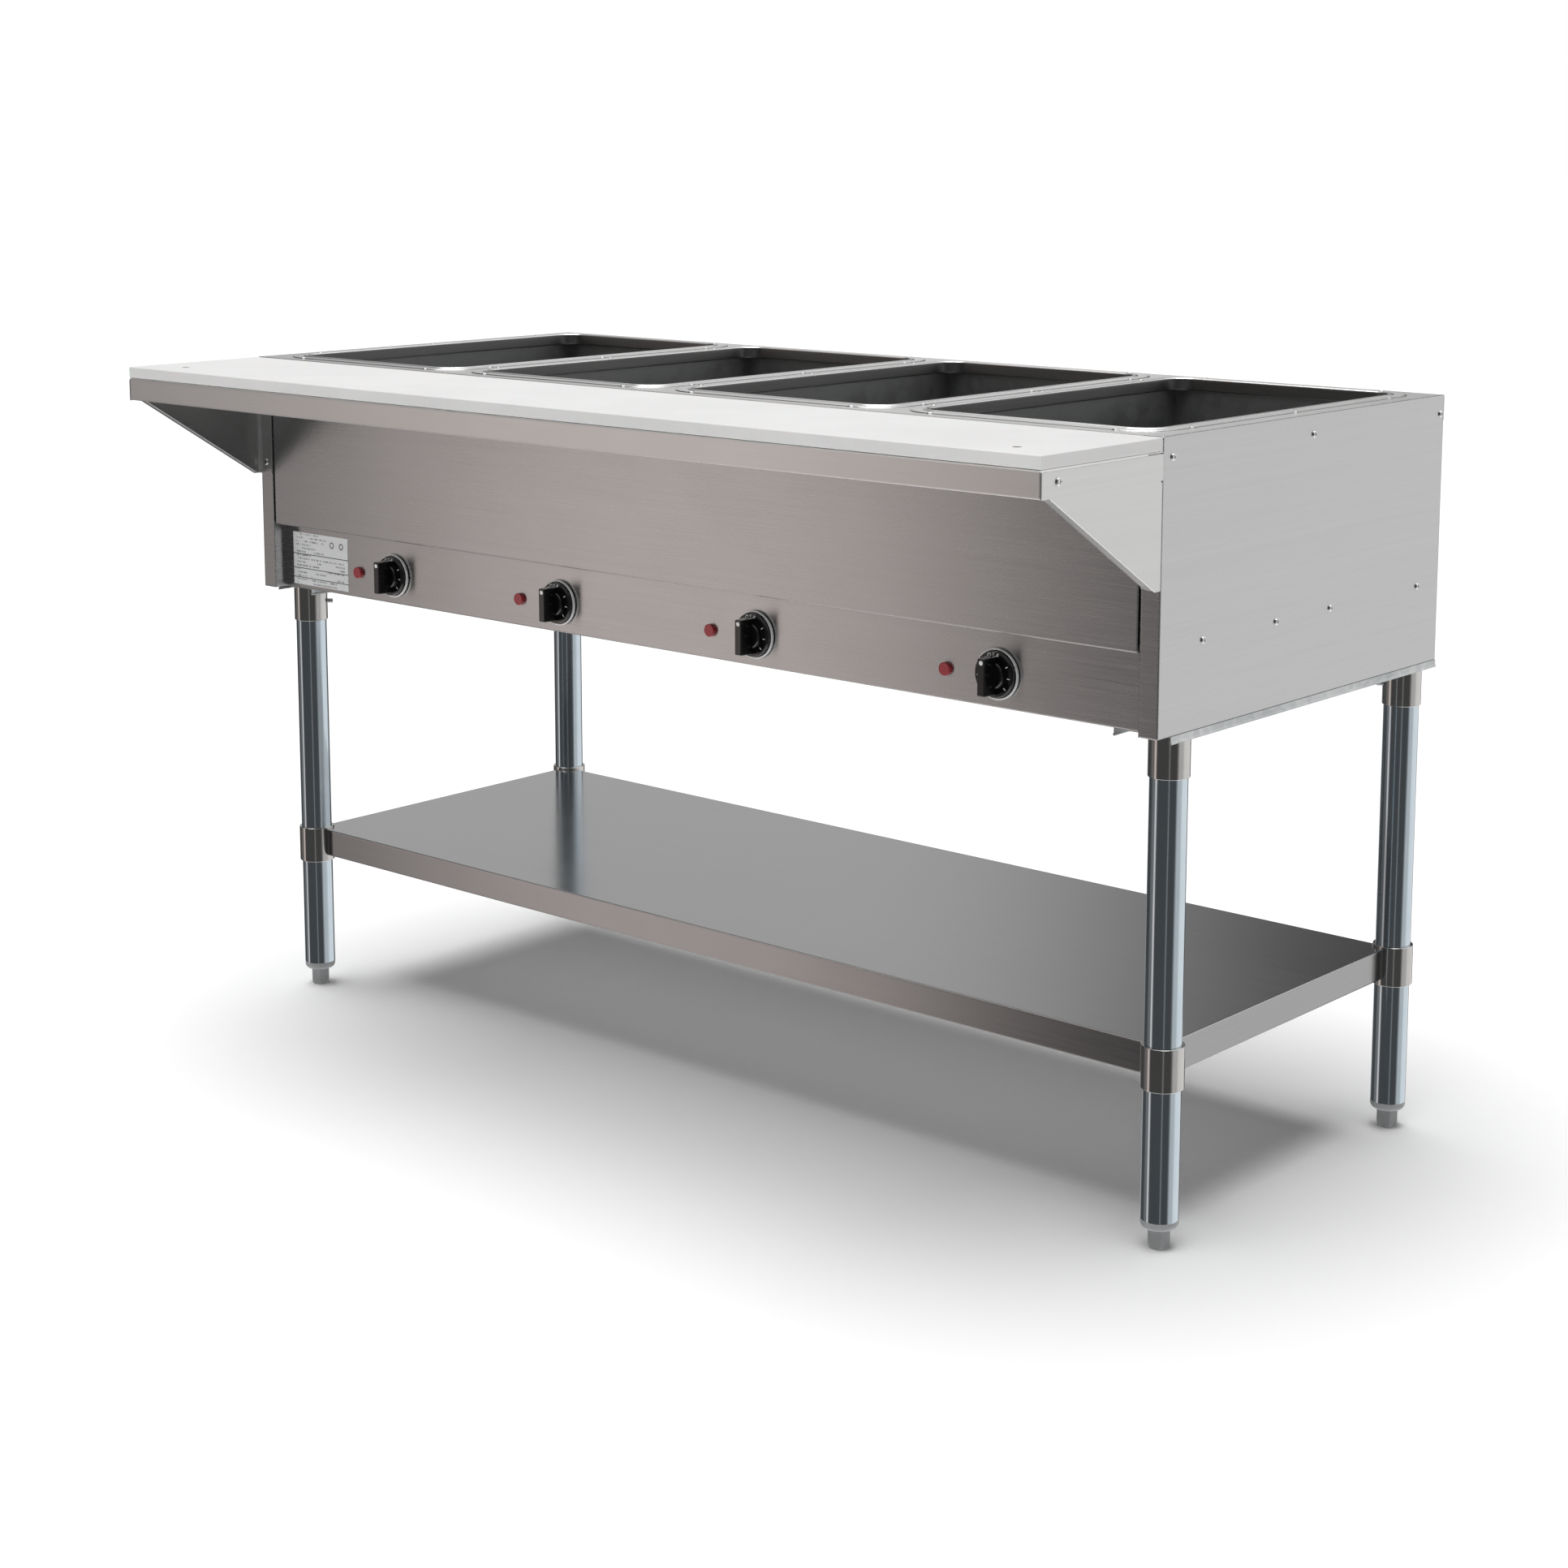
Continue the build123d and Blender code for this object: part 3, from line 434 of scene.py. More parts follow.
@dataclass(frozen=True)
class CuttingBoardPlastic:
    """White polyethylene board, planed flat."""

    name: str = "polyethylene_planed_board"
    dark: str = "#e1e1e0"
    light: str = "#e7e7e6"

    def build(self) -> bpy.types.Material:
        """Make the material: the eye sees clean white with a waxy, slightly grained surface."""
        b = Blank(self.name)
        pebble = b.noise(b.where, per_metre(1.1), 3.0, 0.6)
        planed = b.noise(b.stretched((0.02, 1.0, 1.0)), per_metre(2.4), 3.0, 0.6)
        clouds = b.noise(b.where, per_metre(120.0), 2.0)
        height = b.maths("MULTIPLY_ADD", planed, 0.5, b.maths("MULTIPLY", pebble, 0.5))
        b.set(
            Base_Color=b.tint(clouds, self.dark, self.light),
            Roughness=b.remap(height, 0.38, 0.5),
            IOR=1.51,
            Subsurface_Weight=0.15,
            Subsurface_Scale=2.5 * MM,
            Normal=b.bump(height, 0.03),
        )
        return b.material


@dataclass(frozen=True)
class LampLens:
    """Red polycarbonate lens over a neon lamp that is off."""

    name: str = "polycarbonate_red_moulded_lens"
    dark: str = "#8e1a22"
    light: str = "#b53a42"

    def build(self) -> bpy.types.Material:
        """Make the material: the eye sees dull deep red with a fine frosted inner face and a clear skin."""
        b = Blank(self.name)
        frost = b.noise(b.where, per_metre(0.8), 3.0, 0.6)
        b.set(
            Base_Color=b.tint(frost, self.dark, self.light),
            Roughness=b.remap(frost, 0.3, 0.42),
            IOR=1.58,
            Subsurface_Weight=0.3,
            Subsurface_Radius=(1.0, 0.15, 0.12),
            Subsurface_Scale=1.5 * MM,
            Coat_Weight=0.35,
            Coat_Roughness=0.12,
            Normal=b.bump(frost, 0.03),
        )
        return b.material


@dataclass(frozen=True)
class PrintedFoil:
    """Silver foil data plate with plain rules and rows of dashes in place of words."""

    low: Vector
    high: Vector
    name: str = "aluminium_foil_printed_plate"
    silver: str = "#eff0f0"
    ink: str = "#2c2d30"
    rule: float = 0.007
    rules: tuple[float, ...] = (0.135, 0.315, 0.59)
    rows: float = 15.0
    row_half: float = 0.22
    letters: float = 55.0
    gaps: float = 2.6
    margin_half: float = 0.44
    calm_corner: tuple[float, float] = (0.62, 0.62)
    ring_places: tuple[float, ...] = (0.71, 0.88)
    ring_level: float = 0.83
    ring_radius: float = 0.05
    ring_line: float = 0.013

    def _text(self, b: Blank, u: Socket, v: Socket) -> Socket:
        """Rows of dashes that stand for small print.

        Args:
            b: The material being made.
            u: Place across the plate, 0 to 1.
            v: Place up the plate, 0 to 1.

        Returns:
            1 where there is print.
        """
        rows = b.maths("MULTIPLY", v, self.rows)
        row = b.maths("FLOOR", rows)
        within = b.near(b.maths("FRACT", rows), 0.5, self.row_half)
        masks = []
        for across, up in ((self.letters, 7.3), (self.gaps, 3.1)):
            place = {"X": b.maths("MULTIPLY", u, across), "Y": b.maths("MULTIPLY", row, up)}
            spot = add(b.tree, "ShaderNodeCombineXYZ", place).outputs["Vector"]
            masks.append(b.maths("GREATER_THAN", b.noise(spot, 1.0, 0.0), 0.47))
        text = b.maths("MULTIPLY", b.maths("MULTIPLY", within, masks[0]), masks[1])
        past_u, past_v = (b.maths("GREATER_THAN", at, edge) for at, edge in zip((u, v), self.calm_corner))
        open_part = b.maths("SUBTRACT", 1.0, b.maths("MULTIPLY", past_u, past_v))
        return b.maths("MULTIPLY", b.maths("MULTIPLY", text, b.near(u, 0.5, self.margin_half)), open_part)

    def build(self) -> bpy.types.Material:
        """Make the material: the eye sees a pale label with three rules, small dark rows and two rings."""
        b = Blank(self.name)
        width, height = self.high.x - self.low.x, self.high.z - self.low.z
        unit = add(
            b.tree,
            "ShaderNodeMapping",
            {
                "Vector": b.where,
                "Location": (-self.low.x / width, 0.0, -self.low.z / height),
                "Scale": (1 / width, 1.0, 1 / height),
            },
        )
        apart = add(b.tree, "ShaderNodeSeparateXYZ", {"Vector": unit.outputs["Vector"]})
        u, v = apart.outputs["X"], apart.outputs["Z"]
        ink = b.near(v, self.rules[0], self.rule)
        for level in self.rules[1:]:
            ink = b.maths("MAXIMUM", ink, b.near(v, level, self.rule))
        ink = b.maths("MAXIMUM", ink, b.maths("MULTIPLY", self._text(b, u, v), 0.6))
        for centre in self.ring_places:
            across = b.maths("MULTIPLY", b.maths("SUBTRACT", u, centre), width / height)
            along = b.maths("SUBTRACT", v, self.ring_level)
            square = b.maths("MULTIPLY_ADD", across, across, b.maths("MULTIPLY", along, along))
            ring = b.near(b.maths("SQRT", square), self.ring_radius, self.ring_line)
            ink = b.maths("MAXIMUM", ink, b.maths("MULTIPLY", ring, 0.8))
        fine = b.noise(b.stretched((0.03, 1.0, 1.0)), per_metre(0.8), 3.0)
        colour = add(
            b.tree,
            "ShaderNodeMix",
            {"Factor": ink, 6: b.tint(fine, "#e6e7e8", self.silver), 7: linear(self.ink)},
            data_type="RGBA",
        )
        b.set(
            Base_Color=colour.outputs[2],
            Metallic=0.1,
            Roughness=b.remap(fine, 0.4, 0.5),
            Normal=b.bump(fine, 0.006),
        )
        return b.material


# --- modelling ------------------------------------------------------------------------------------
def clear_selection() -> None:
    """Leave edit mode and deselect everything."""
    if bpy.context.object is not None and bpy.context.object.mode != "OBJECT":
        bpy.ops.object.mode_set(mode="OBJECT")
    bpy.ops.object.select_all(action="DESELECT")


def settle(
    piece: bpy.types.Object, name: str, finish: bpy.types.Material, smooth_deg: float = 35.0
) -> bpy.types.Object:
    """Give a finished piece its name, material and smoothing, and put its place into its mesh.

    Args:
        piece: The modelled object.
        name: Name to give it.
        finish: Its material.
        smooth_deg: Edges flatter than this are smoothed.

    Returns:
        The same object, at the origin.
    """
    clear_selection()
    piece.select_set(True)
    bpy.context.view_layer.objects.active = piece
    bpy.ops.object.transform_apply(location=True, rotation=True, scale=True)
    bpy.ops.object.mode_set(mode="EDIT")
    bpy.ops.mesh.select_all(action="SELECT")
    bpy.ops.mesh.remove_doubles(threshold=1e-7)
    bpy.ops.mesh.normals_make_consistent(inside=False)
    bpy.ops.object.mode_set(mode="OBJECT")
    bpy.ops.object.shade_smooth_by_angle(angle=math.radians(smooth_deg))
    piece.name = name
    piece.data.name = name
    piece.data.materials.clear()
    piece.data.materials.append(finish)
    return piece


def turn_about(hub: Vector, angle: float) -> Matrix:
    """Turn by an angle about the line along Y through a point."""
    return Matrix.Translation(hub) @ Matrix.Rotation(angle, 4, "Y") @ Matrix.Translation(-hub)


def turned_copy(piece: bpy.types.Object, name: str, turn: Matrix) -> bpy.types.Object:
    """Copy a finished piece with its own mesh, moved by a matrix."""
    twin = piece.copy()
    twin.data = piece.data.copy()
    twin.data.transform(turn)
    twin.name = name
    twin.data.name = name
    bpy.context.scene.collection.objects.link(twin)
    return twin


# --- sub-assemblies -------------------------------------------------------------------------------
@dataclass
class Dressing:
    """Puts finishes on the frame's own nodes."""

    frame: dict[str, Any]
    used: set[str] = field(default_factory=set)

    def dress(self, nodes: Iterable[str], finish: bpy.types.Material) -> None:
        """Give nodes one finish.

        Args:
            nodes: Names of frame nodes.
            finish: Material for all of them.
        """
        for name in nodes:
            data = self.frame["nodes"][name].data
            data.materials.clear()
            data.materials.append(finish)
            self.used.add(name)
            LOG.info("%s: %s", name, finish.name)

    def left_out(self) -> list[str]:
        """Names of nodes that have no finish yet."""
        return sorted(set(self.frame["nodes"]) - self.used)


@dataclass
class Casing:
    """Folded stainless body, shelf and brackets."""

    sheet: BrushedSheet = field(default_factory=BrushedSheet)
    panels: tuple[str, ...] = (
        "rear_panel",
        "front_panel_upper",
        "control_panel",
        "end_panel_left",
        "end_panel_right",
    )
    brackets: tuple[str, ...] = ("board_bracket_left", "board_bracket_right")
    # margin of the deck's outer edges left out of its painted shade
    rim_mm: float = 10.0

    def finish(self, dressing: Dressing) -> None:
        """Dress the sheets and their fasteners."""
        dressing.dress(self.panels, self.sheet.build())
        bracket = BrushedSheet("stainless_no4_brushed_bracket", "#d0d0cf", "#d8d8d7", 0.33, 0.7)
        dressing.dress(self.brackets, bracket.build())
        # painted light: the apron gets a much brighter copy of the sheet colour than the panels, standing in
        # for the extra light it catches
        apron = BrushedSheet("stainless_no4_brushed_apron_painted_light", "#ebebea", "#f2f2f1", 0.33, 0.6)
        dressing.dress(("board_shelf",), apron.build())
        # deck: its brighter copy of the sheet colour is painted light for the lit top, and upright=0.3 paints
        # shade on the hems inside the openings
        low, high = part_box("deck_top")
        middle, half = (low + high) / 2, (high - low) / 2 - Vector((1.0, 1.0, 0.0)) * self.rim_mm * MM
        within = (middle.x, half.x, middle.y, half.y)
        name = "stainless_no4_brushed_deck_painted_light_and_shade"
        deck = BrushedSheet(name, "#e8e8e7", "#f0f0ef", 0.3, 0.7, upright=0.3, within=within)
        dressing.dress(("deck_top",), deck.build())
        screws = SmallMetal("stainless_polished_screw", "#c9c9c8", "#e2e2e1", 0.16)
        dressing.dress(("end_panel_screws", "rear_panel_screws", "bracket_screws"), screws.build())
        inner = ZincSheet("steel_galvanised_chassis", "#b9bcbd", "#d2d4d4")
        dressing.dress(("bottom_pan", "heat_shield_tray", "leg_rail_left", "leg_rail_right"), inner.build())


@dataclass
class Wells:
    """Open galvanised wells with their elements and insulation."""

    count: int = 4

    def names(self, stem: str) -> tuple[str, ...]:
        """Node names of one part in every well."""
        return tuple(f"{stem}_{number}" for number in range(1, self.count + 1))

    def finish(self, dressing: Dressing) -> None:
        """Dress the liners, elements, fittings and insulation."""
        liner = ZincSheet("steel_galvanised_dulled_liner", "#929393", "#9b9c9c", 0.5, 14.0)
        dressing.dress(self.names("well_liner"), liner.build())
        sheath = SmallMetal("nickel_alloy_heat_darkened_sheath", "#3c3833", "#5b544b", 0.42)
        dressing.dress((*self.names("heating_element"), "element_saddles"), sheath.build())
        brass = SmallMetal("brass_turned_gland", "#b58d42", "#d2b06a", 0.28)
        dressing.dress(("element_glands",), brass.build())
        dressing.dress(("well_insulation",), FibreBatt().build())


@dataclass
class Controls:
    """Regulators, lamps, knobs with their printed dials, and the data plate."""

    count: int = 4
    ring_outer: float = 28.5
    ring_inner: float = 26.6
    ring_depth: float = 3.2
    ring_gap: float = 0.4
    ring_edge: float = 0.38
    base_radius: float = 27.5
    dial_face: float = 9.0
    dot_radius: float = 2.6
    dot_height: float = 16.2
    letter_size: float = 6.6
    letter_radius: float = 19.9
    letter_step_deg: float = 14.5
    tick_radius: float = 20.6
    tick_angles: tuple[float, ...] = (60.0, 96.0, 132.0, 228.0, 264.0, 300.0)

    def names(self, stem: str) -> tuple[str, ...]:
        """Node names of one part of every control."""
        return tuple(f"{stem}_{number}" for number in range(1, self.count + 1))

    def finish(self, dressing: Dressing) -> None:
        """Dress the frame's own control parts."""
        knob = MouldedPlastic("phenolic_black_moulded_knob", "#060606", "#0c0c0c", 0.22, 0.5, 0.004, coat=0.6)
        dressing.dress(self.names("knob"), knob.build())
        body = MouldedPlastic("phenolic_matt_moulded_regulator", "#1a1a1a", "#262626", 0.55)
        dressing.dress(self.names("thermostat"), body.build())
        zinc = SmallMetal("steel_bright_zinc_plated", "#a9abaf", "#c9cbcd", 0.26)
        hardware = ("thermostat_nuts", "socket_set_screws", "collar_set_screws")
        dressing.dress((*self.names("knob_shaft"), *hardware), zinc.build())
        dressing.dress(("lamp_lenses",), LampLens().build())
        barrel = MouldedPlastic("nylon_white_moulded_barrel", "#d5d2c8", "#e6e3da", 0.5)
        dressing.dress(("lamp_bodies",), barrel.build())
        low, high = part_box("rating_plate")
        dressing.dress(("rating_plate",), PrintedFoil(low, high).build())
        gland = MouldedPlastic("nylon_black_moulded_gland", "#101010", "#1b1b1b", 0.45)
        dressing.dress(("cable_gland",), gland.build())
        block = MouldedPlastic("melamine_cream_moulded_block", "#d9d2bd", "#e8e2cf", 0.4)
        dressing.dress(("terminal_block",), block.build())

    def _ring(self, x: float, back: float, z: float, steel: bpy.types.Material) -> bpy.types.Object:
        """Bright trim ring that wraps the rim of a knob's base."""
        clear_selection()
        bpy.ops.mesh.primitive_circle_add(
            vertices=96,
            radius=self.ring_outer * MM,
            fill_type="NOTHING",
            location=(x, back - self.ring_gap * MM, z),
            rotation=(math.pi / 2, 0.0, 0.0),
        )
        ring = bpy.context.object
        bpy.ops.object.mode_set(mode="EDIT")
        bpy.ops.mesh.select_all(action="SELECT")
        bpy.ops.mesh.extrude_edges_move()
        shrink = self.ring_inner / self.ring_outer
        centre = (x, back - self.ring_gap * MM, z)
        bpy.ops.transform.resize(value=(shrink, 1.0, shrink), center_override=centre)
        bpy.ops.mesh.select_all(action="SELECT")
        bpy.ops.mesh.extrude_region_move(TRANSFORM_OT_translate={"value": (0.0, -self.ring_depth * MM, 0.0)})
        bpy.ops.object.mode_set(mode="OBJECT")
        edge = ring.modifiers.new("edge", "BEVEL")
        edge.width, edge.segments, edge.limit_method = self.ring_edge * MM, 3, "ANGLE"
        bpy.ops.object.modifier_apply(modifier=edge.name)
        return settle(ring, "ring", steel)

    def _dot(self, x: float, front: float, z: float, white: bpy.types.Material) -> bpy.types.Object:
        """White pointer dot near the upper end of a knob's grip."""
        clear_selection()
        bpy.ops.mesh.primitive_circle_add(
            vertices=40,
            radius=self.dot_radius * MM,
            fill_type="NGON",
            location=(x, front + 0.3 * MM, z + self.dot_height * MM),
            rotation=(math.pi / 2, 0.0, 0.0),
        )
        dot = bpy.context.object
        bpy.ops.object.mode_set(mode="EDIT")
        bpy.ops.mesh.select_all(action="SELECT")
        bpy.ops.mesh.extrude_region_move(TRANSFORM_OT_translate={"value": (0.0, -0.55 * MM, 0.0)})
        bpy.ops.object.mode_set(mode="OBJECT")
        edge = dot.modifiers.new("edge", "BEVEL")
        edge.width, edge.segments, edge.limit_method = 0.2 * MM, 2, "ANGLE"
        bpy.ops.object.modifier_apply(modifier=edge.name)
        return settle(dot, "dot", white)

    def _word(
        self, x: float, face: float, z: float, knob: bpy.types.Object, white: bpy.types.Material
    ) -> bpy.types.Object:
        """The word OFF, printed on the dial above the grip and laid onto its rounded rim."""
        hub = Vector((x, face, z))
        letters = []
        for place, character in enumerate("OFF"):
            clear_selection()
            bpy.ops.object.text_add(
                location=(x, face - 1.0 * MM, z + self.letter_radius * MM), rotation=(math.pi / 2, 0.0, 0.0)
            )
            bpy.context.object.data.body = character
            bpy.context.object.data.size = self.letter_size * MM
            bpy.context.object.data.align_x = "CENTER"
            bpy.context.object.data.offset = 0.1 * MM
            bpy.ops.object.convert(target="MESH")
            letter = bpy.context.object
            bpy.ops.object.transform_apply(location=True, rotation=True, scale=True)
            bpy.ops.object.mode_set(mode="EDIT")
            bpy.ops.mesh.select_all(action="SELECT")
            bpy.ops.mesh.quads_convert_to_tris()
            bpy.ops.mesh.subdivide(number_cuts=4)
            bpy.ops.object.mode_set(mode="OBJECT")
            angle = math.radians(self.letter_step_deg * (place - 1))
            letter.data.transform(turn_about(hub, angle))
            letters.append(letter)
        clear_selection()
        for letter in letters:
            letter.select_set(True)
        word = letters[0]
        bpy.context.view_layer.objects.active = word
        bpy.ops.object.join()
        laid = word.modifiers.new("laid", "SHRINKWRAP")
        laid.target = knob
        laid.wrap_method = "PROJECT"
        laid.use_project_y = True
        laid.use_positive_direction = True
        laid.use_negative_direction = True
        laid.offset = 0.12 * MM
        bpy.ops.object.modifier_apply(modifier=laid.name)
        thick = word.modifiers.new("ink", "SOLIDIFY")
        thick.thickness, thick.offset = 0.12 * MM, 0.0
        bpy.ops.object.modifier_apply(modifier=thick.name)
        return settle(word, "word", white, 20.0)

    def _ticks(self, x: float, face: float, z: float, white: bpy.types.Material) -> bpy.types.Object:
        """Short heat-setting marks round the dial, clear of the grip."""
        clear_selection()
        bpy.ops.mesh.primitive_cube_add(
            size=1.0,
            location=(x, face - 0.02 * MM, z + self.tick_radius * MM),
            scale=(0.9 * MM, 0.2 * MM, 3.4 * MM),
        )
        tick = bpy.context.object
        bpy.ops.object.transform_apply(location=True, rotation=True, scale=True)
        edge = tick.modifiers.new("edge", "BEVEL")
        edge.width, edge.segments = 0.06 * MM, 1
        bpy.ops.object.modifier_apply(modifier=edge.name)
        hub = Vector((x, face, z))
        marks = []
        for angle in self.tick_angles:
            marks.append(turned_copy(tick, "tick", turn_about(hub, math.radians(angle))))
        clear_selection()
        for mark in marks:
            mark.select_set(True)
        bpy.context.view_layer.objects.active = marks[0]
        bpy.ops.object.join()
        bpy.data.objects.remove(tick)
        return settle(marks[0], "ticks", white)

    def trim(self, frame: dict[str, Any]) -> None:
        """Model each knob's ring, dot, word and marks, and make them turn with the knob.
        """
        foil = SmallMetal("silver_hot_stamped_foil", "#f0f0ef", "#fafaf9", 0.3, metallic=0.35).build()
        white = MouldedPlastic("epoxy_white_printed_ink", "#e4e4e2", "#f4f4f2", 0.4, 0.4, 0.004).build()
        for number in range(1, self.count + 1):
            knob = f"knob_{number}"
            low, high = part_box(knob)
            x, z = (low.x + high.x) / 2, high.z - self.base_radius * MM
            back, front, face = high.y, low.y, high.y - self.dial_face * MM
            pieces = {
                "ring": (self._ring(x, back, z, foil), "stainless_turned"),
                "dot": (self._dot(x, front, z, white), "board_white"),
                "off_word": (self._word(x, face, z, frame["nodes"][knob], white), "board_white"),
                "marks": (self._ticks(x, face, z, white), "board_white"),
            }
            for stem, (piece, slot) in pieces.items():
                piece.name = f"dial_{stem}_{number}"
                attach(piece, f"control_{number}")
                LOG.info("%s rides on control_%d", piece.name, number)


@dataclass
class Stand:
    """Legs, sleeves, collars, undershelf and levelling feet."""

    count: int = 4

    def finish(self, dressing: Dressing) -> None:
        """Dress the stand."""
        tube = TubeMetal("steel_galvanised_drawn_tube", "#c9d6df", "#d6e1e8", 0.13, bump_mm=0.004, spots=0.02)
        dressing.dress(("leg_tubes",), tube.build())
        sleeve = TubeMetal("stainless_polished_sleeve", "#c4c2bf", "#d4d2cf", 0.13, 0.8, 40.0)
        dressing.dress(("leg_sockets", "shelf_collars"), sleeve.build())
        # painted shade: the undershelf's and stiffener's upright faces keep only 0.72 of the sheet colour
        shelf = BrushedSheet("stainless_no4_brushed_shelf_painted_shade", "#bebebe", "#c4c4c4", 0.15, 0.5, upright=0.72)
        dressing.dress(("undershelf", "shelf_stiffener"), shelf.build())
        nylon = MouldedPlastic("nylon_grey_moulded_foot", "#a3a5a6", "#b4b6b7", 0.4)
        feet = tuple(f"foot_{number}" for number in range(1, self.count + 1))
        dressing.dress(("leg_caps", *feet), nylon.build())


@dataclass
class Board:
    """Loose cutting board on its two pins."""

    def finish(self, dressing: Dressing) -> None:
        """Dress the board and its pins."""
        dressing.dress(("cutting_board",), CuttingBoardPlastic().build())
        pin = SmallMetal("aluminium_turned_pin", "#9d9d9c", "#b9b9b8", 0.35)
        dressing.dress(("locating_pins",), pin.build())


# --- studio ---------------------------------------------------------------------------------------
class Reach(Enum):
    """How a studio light panel stands: a tall strip, or a patch of the sky."""

    STRIP = "strip"
    PATCH = "patch"


@dataclass(frozen=True)
class Glow:
    """One soft light panel of the surrounding studio, seen in the steel."""

    name: str
    towards: tuple[float, float, float]
    inner_deg: float
    outer_deg: float
    strength: float
    colour: str = "#ffffff"
    reach: Reach = Reach.STRIP


def bearing(side: float, degrees: float, left: bool = True) -> tuple[float, float, float]:
    """Level direction some degrees away from the Y axis.

    Args:
        side: -1 for the operator's side, 1 for the rear.
        degrees: Angle from the Y axis.
        left: Turn towards -X if true, towards +X otherwise.

    Returns:
        The direction as three numbers.
    """
    turn = math.radians(degrees)
    return (-math.sin(turn) if left else math.sin(turn), side * math.cos(turn), 0.0)


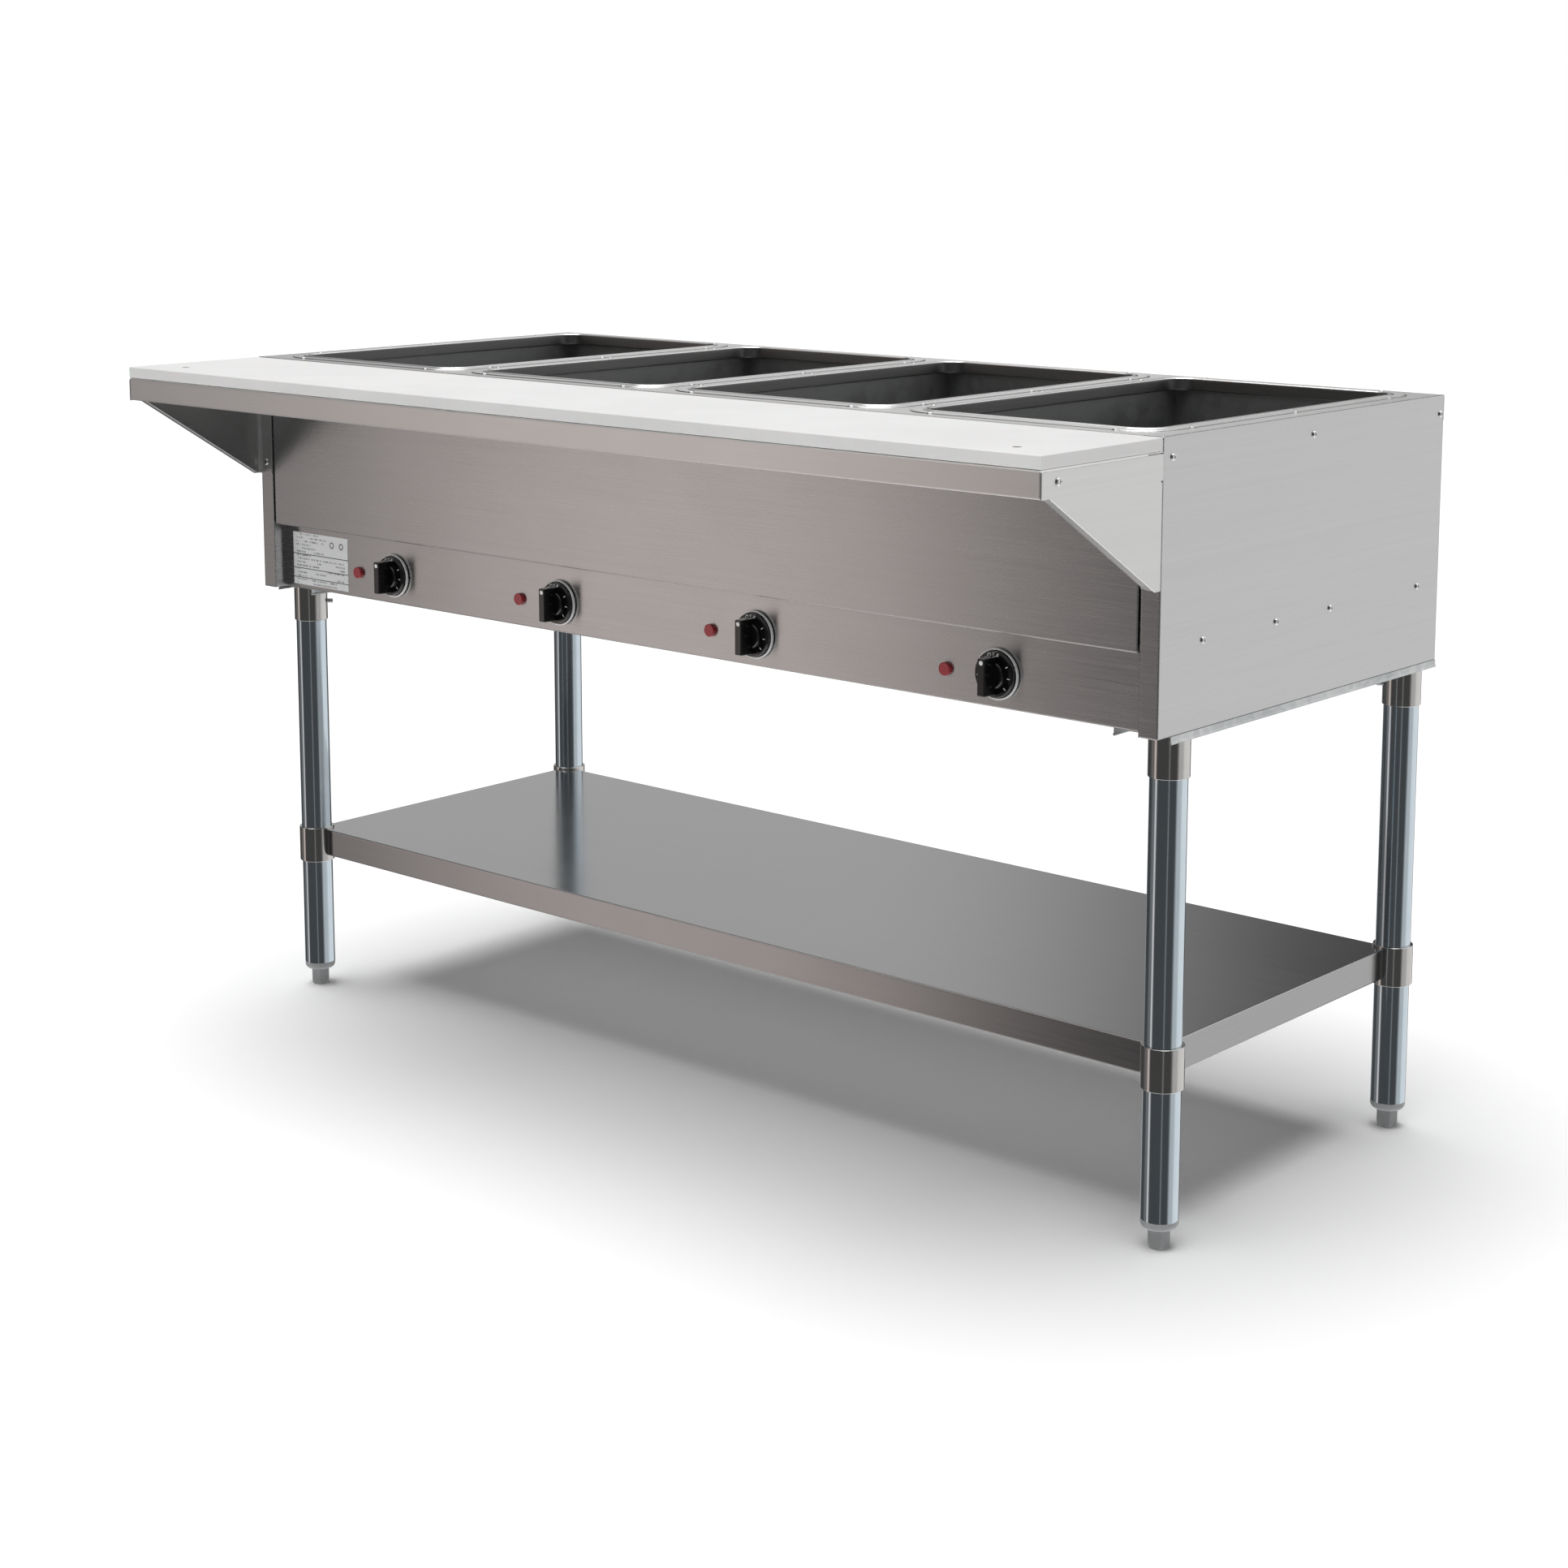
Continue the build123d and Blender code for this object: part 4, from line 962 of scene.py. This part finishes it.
@dataclass
class Studio:
    """Pale floor, white surround and soft light."""

    floor_radius: float = 60.0
    floor_colour: str = "#ffffff"
    dim: float = 0.075
    dim_colour: str = "#fdfdff"
    fill: float = 0.13
    key_strength: float = 3.2
    key_angle_deg: float = 52.0
    key_from: tuple[float, float, float] = (-0.08, -0.1, 1.0)
    glows: tuple[Glow, ...] = (
        Glow("front_left_panel", bearing(-1, 43.8), 2.0, 9.5, 0.75, "#fff1ec"),
        Glow("far_front_left_panel", bearing(-1, 61.0), 8.0, 20.0, 0.12, "#fff6f3"),
        Glow("rear_left_panel", bearing(1, 46.0), 6.0, 18.0, 0.45),
        Glow("rear_right_panel", bearing(1, 28.0, False), 24.0, 42.0, 0.81),
        Glow("right_panel", bearing(1, 78.0, False), 8.0, 26.0, 0.5),
        Glow("camera_side_card", bearing(-1, 37.0, False), 0.5, 5.0, 0.2),
        Glow("overhead_panel", (0.0, 0.1, 1.0), 15.0, 60.0, 0.9, reach=Reach.PATCH),
        Glow("floor_bounce", (0.0, 0.0, -1.0), 42.0, 56.0, 1.0, reach=Reach.PATCH),
    )

    def _floor(self) -> None:
        """Lay the floor disc, which the steel doesn't mirror, and shade it."""
        clear_selection()
        bpy.ops.mesh.primitive_circle_add(vertices=128, radius=self.floor_radius, fill_type="NGON")
        floor = bpy.context.object
        floor.name = "studio_floor"
        floor.visible_glossy = False
        material = bpy.data.materials.new("paper_white_matt_floor")
        material.use_nodes = True
        tree = material.node_tree
        tree.nodes.clear()
        diffuse = add(tree, "ShaderNodeBsdfDiffuse", {"Color": linear(self.floor_colour)})
        add(tree, "ShaderNodeOutputMaterial", {"Surface": diffuse.outputs["BSDF"]})
        floor.data.materials.append(material)

    def _panel(self, tree: Tree, glow: Glow, direction: Socket, level: Socket) -> Socket:
        """Light of one panel in every direction.

        Args:
            tree: The world's node tree.
            glow: The panel.
            direction: Direction that is looked along.
            level: The same direction turned level.

        Returns:
            Its colour as a vector.
        """
        looked = level if glow.reach is Reach.STRIP else direction
        aim = tuple(Vector(glow.towards).normalized())
        dot = add(tree, "ShaderNodeVectorMath", {0: looked, 1: aim}, operation="DOT_PRODUCT").outputs["Value"]
        lobe = add(
            tree,
            "ShaderNodeMapRange",
            {
                "Value": add(tree, "ShaderNodeMath", {0: dot}, operation="ARCCOSINE").outputs[0],
                "From Min": math.radians(glow.outer_deg),
                "From Max": math.radians(glow.inner_deg),
                "To Min": 0.0,
                "To Max": glow.strength,
            },
            interpolation_type="SMOOTHSTEP",
        ).outputs["Result"]
        colour = linear(glow.colour)[:3]
        lit = add(tree, "ShaderNodeVectorMath", {0: colour, "Scale": lobe}, operation="SCALE")
        return lit.outputs["Vector"]

    def _surround(self) -> None:
        """Shade the world: white behind the table, dim with soft panels where the steel looks."""
        world = bpy.data.worlds.new("studio_surround")
        bpy.context.scene.world = world
        world.use_nodes = True
        tree = world.node_tree
        tree.nodes.clear()
        direction = add(tree, "ShaderNodeTexCoord").outputs["Generated"]
        flat = add(tree, "ShaderNodeVectorMath", {0: direction, 1: (1.0, 1.0, 0.0)}, operation="MULTIPLY")
        level = add(tree, "ShaderNodeVectorMath", {0: flat.outputs[0]}, operation="NORMALIZE").outputs[0]
        dim = tuple(self.dim * channel for channel in linear(self.dim_colour)[:3])
        total = add(tree, "ShaderNodeCombineXYZ", {"X": dim[0], "Y": dim[1], "Z": dim[2]}).outputs[0]
        for glow in self.glows:
            panel = self._panel(tree, glow, direction, level)
            total = add(tree, "ShaderNodeVectorMath", {0: panel, 1: total}, operation="ADD").outputs[0]
        path = add(tree, "ShaderNodeLightPath")
        mirrored = add(tree, "ShaderNodeBackground", {"Color": total, "Strength": 1.0})
        filled = add(tree, "ShaderNodeBackground", {"Color": linear("#ffffff"), "Strength": self.fill})
        seen = add(tree, "ShaderNodeBackground", {"Color": linear("#ffffff"), "Strength": 1.0})
        shaders = {0: path.outputs["Is Glossy Ray"], 1: filled.outputs[0], 2: mirrored.outputs[0]}
        glossy = add(tree, "ShaderNodeMixShader", shaders)
        shaders = {0: path.outputs["Is Camera Ray"], 1: glossy.outputs[0], 2: seen.outputs[0]}
        final = add(tree, "ShaderNodeMixShader", shaders)
        add(tree, "ShaderNodeOutputWorld", {"Surface": final.outputs[0]})

    def _key(self) -> None:
        """Hang the broad overhead key light."""
        clear_selection()
        bpy.ops.object.light_add(type="SUN", location=(0, 0, 4))
        sun = bpy.context.object
        sun.name = "key_light"
        sun.data.energy = self.key_strength
        sun.data.angle = math.radians(self.key_angle_deg)
        sun.rotation_euler = Vector(self.key_from).to_track_quat("Z", "Y").to_euler()

    def build(self) -> None:
        """Set up the studio and plain colour handling."""
        self._floor()
        self._surround()
        self._key()
        view = bpy.context.scene.view_settings
        view.view_transform = "Standard"
        view.look = "None"
        view.exposure = 0.0
        view.gamma = 1.0
        LOG.info("studio ready")


@dataclass
class Viewpoint:
    """Camera at standing height, off the right-hand front corner."""

    place_mm: tuple[float, float, float] = (2292.7, -2536.7, 1202.4)
    heading_deg: float = 41.444
    tilt_deg: float = 8.761
    lens: float = 63.919
    sensor: float = 36.0
    shift: float = -0.15

    def build(self) -> bpy.types.Object:
        """Create the camera and make it the scene's.

        Returns:
            The camera object.
        """
        clear_selection()
        bpy.ops.object.camera_add(
            location=tuple(value * MM for value in self.place_mm),
            rotation=(math.radians(90.0 - self.tilt_deg), 0.0, math.radians(self.heading_deg)),
        )
        camera = bpy.context.object
        camera.name = "main_camera"
        camera.data.lens = self.lens
        camera.data.sensor_width = self.sensor
        camera.data.shift_y = self.shift
        camera.data.clip_end = 200.0
        bpy.context.scene.camera = camera
        LOG.info("camera ready")
        return camera


def main() -> None:
    """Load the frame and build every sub-assembly in order."""
    logging.basicConfig(level=logging.INFO, format="%(name)s: %(message)s")
    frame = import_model()
    Viewpoint().build()
    Studio().build()
    dressing = Dressing(frame)
    controls = Controls()
    for group in (Casing(), Wells(), controls, Stand(), Board()):
        group.finish(dressing)
    controls.trim(frame)
    missing = dressing.left_out()
    if missing:
        raise ValueError(f"nodes without a finish: {missing}")


if __name__ == "__main__":
    main()
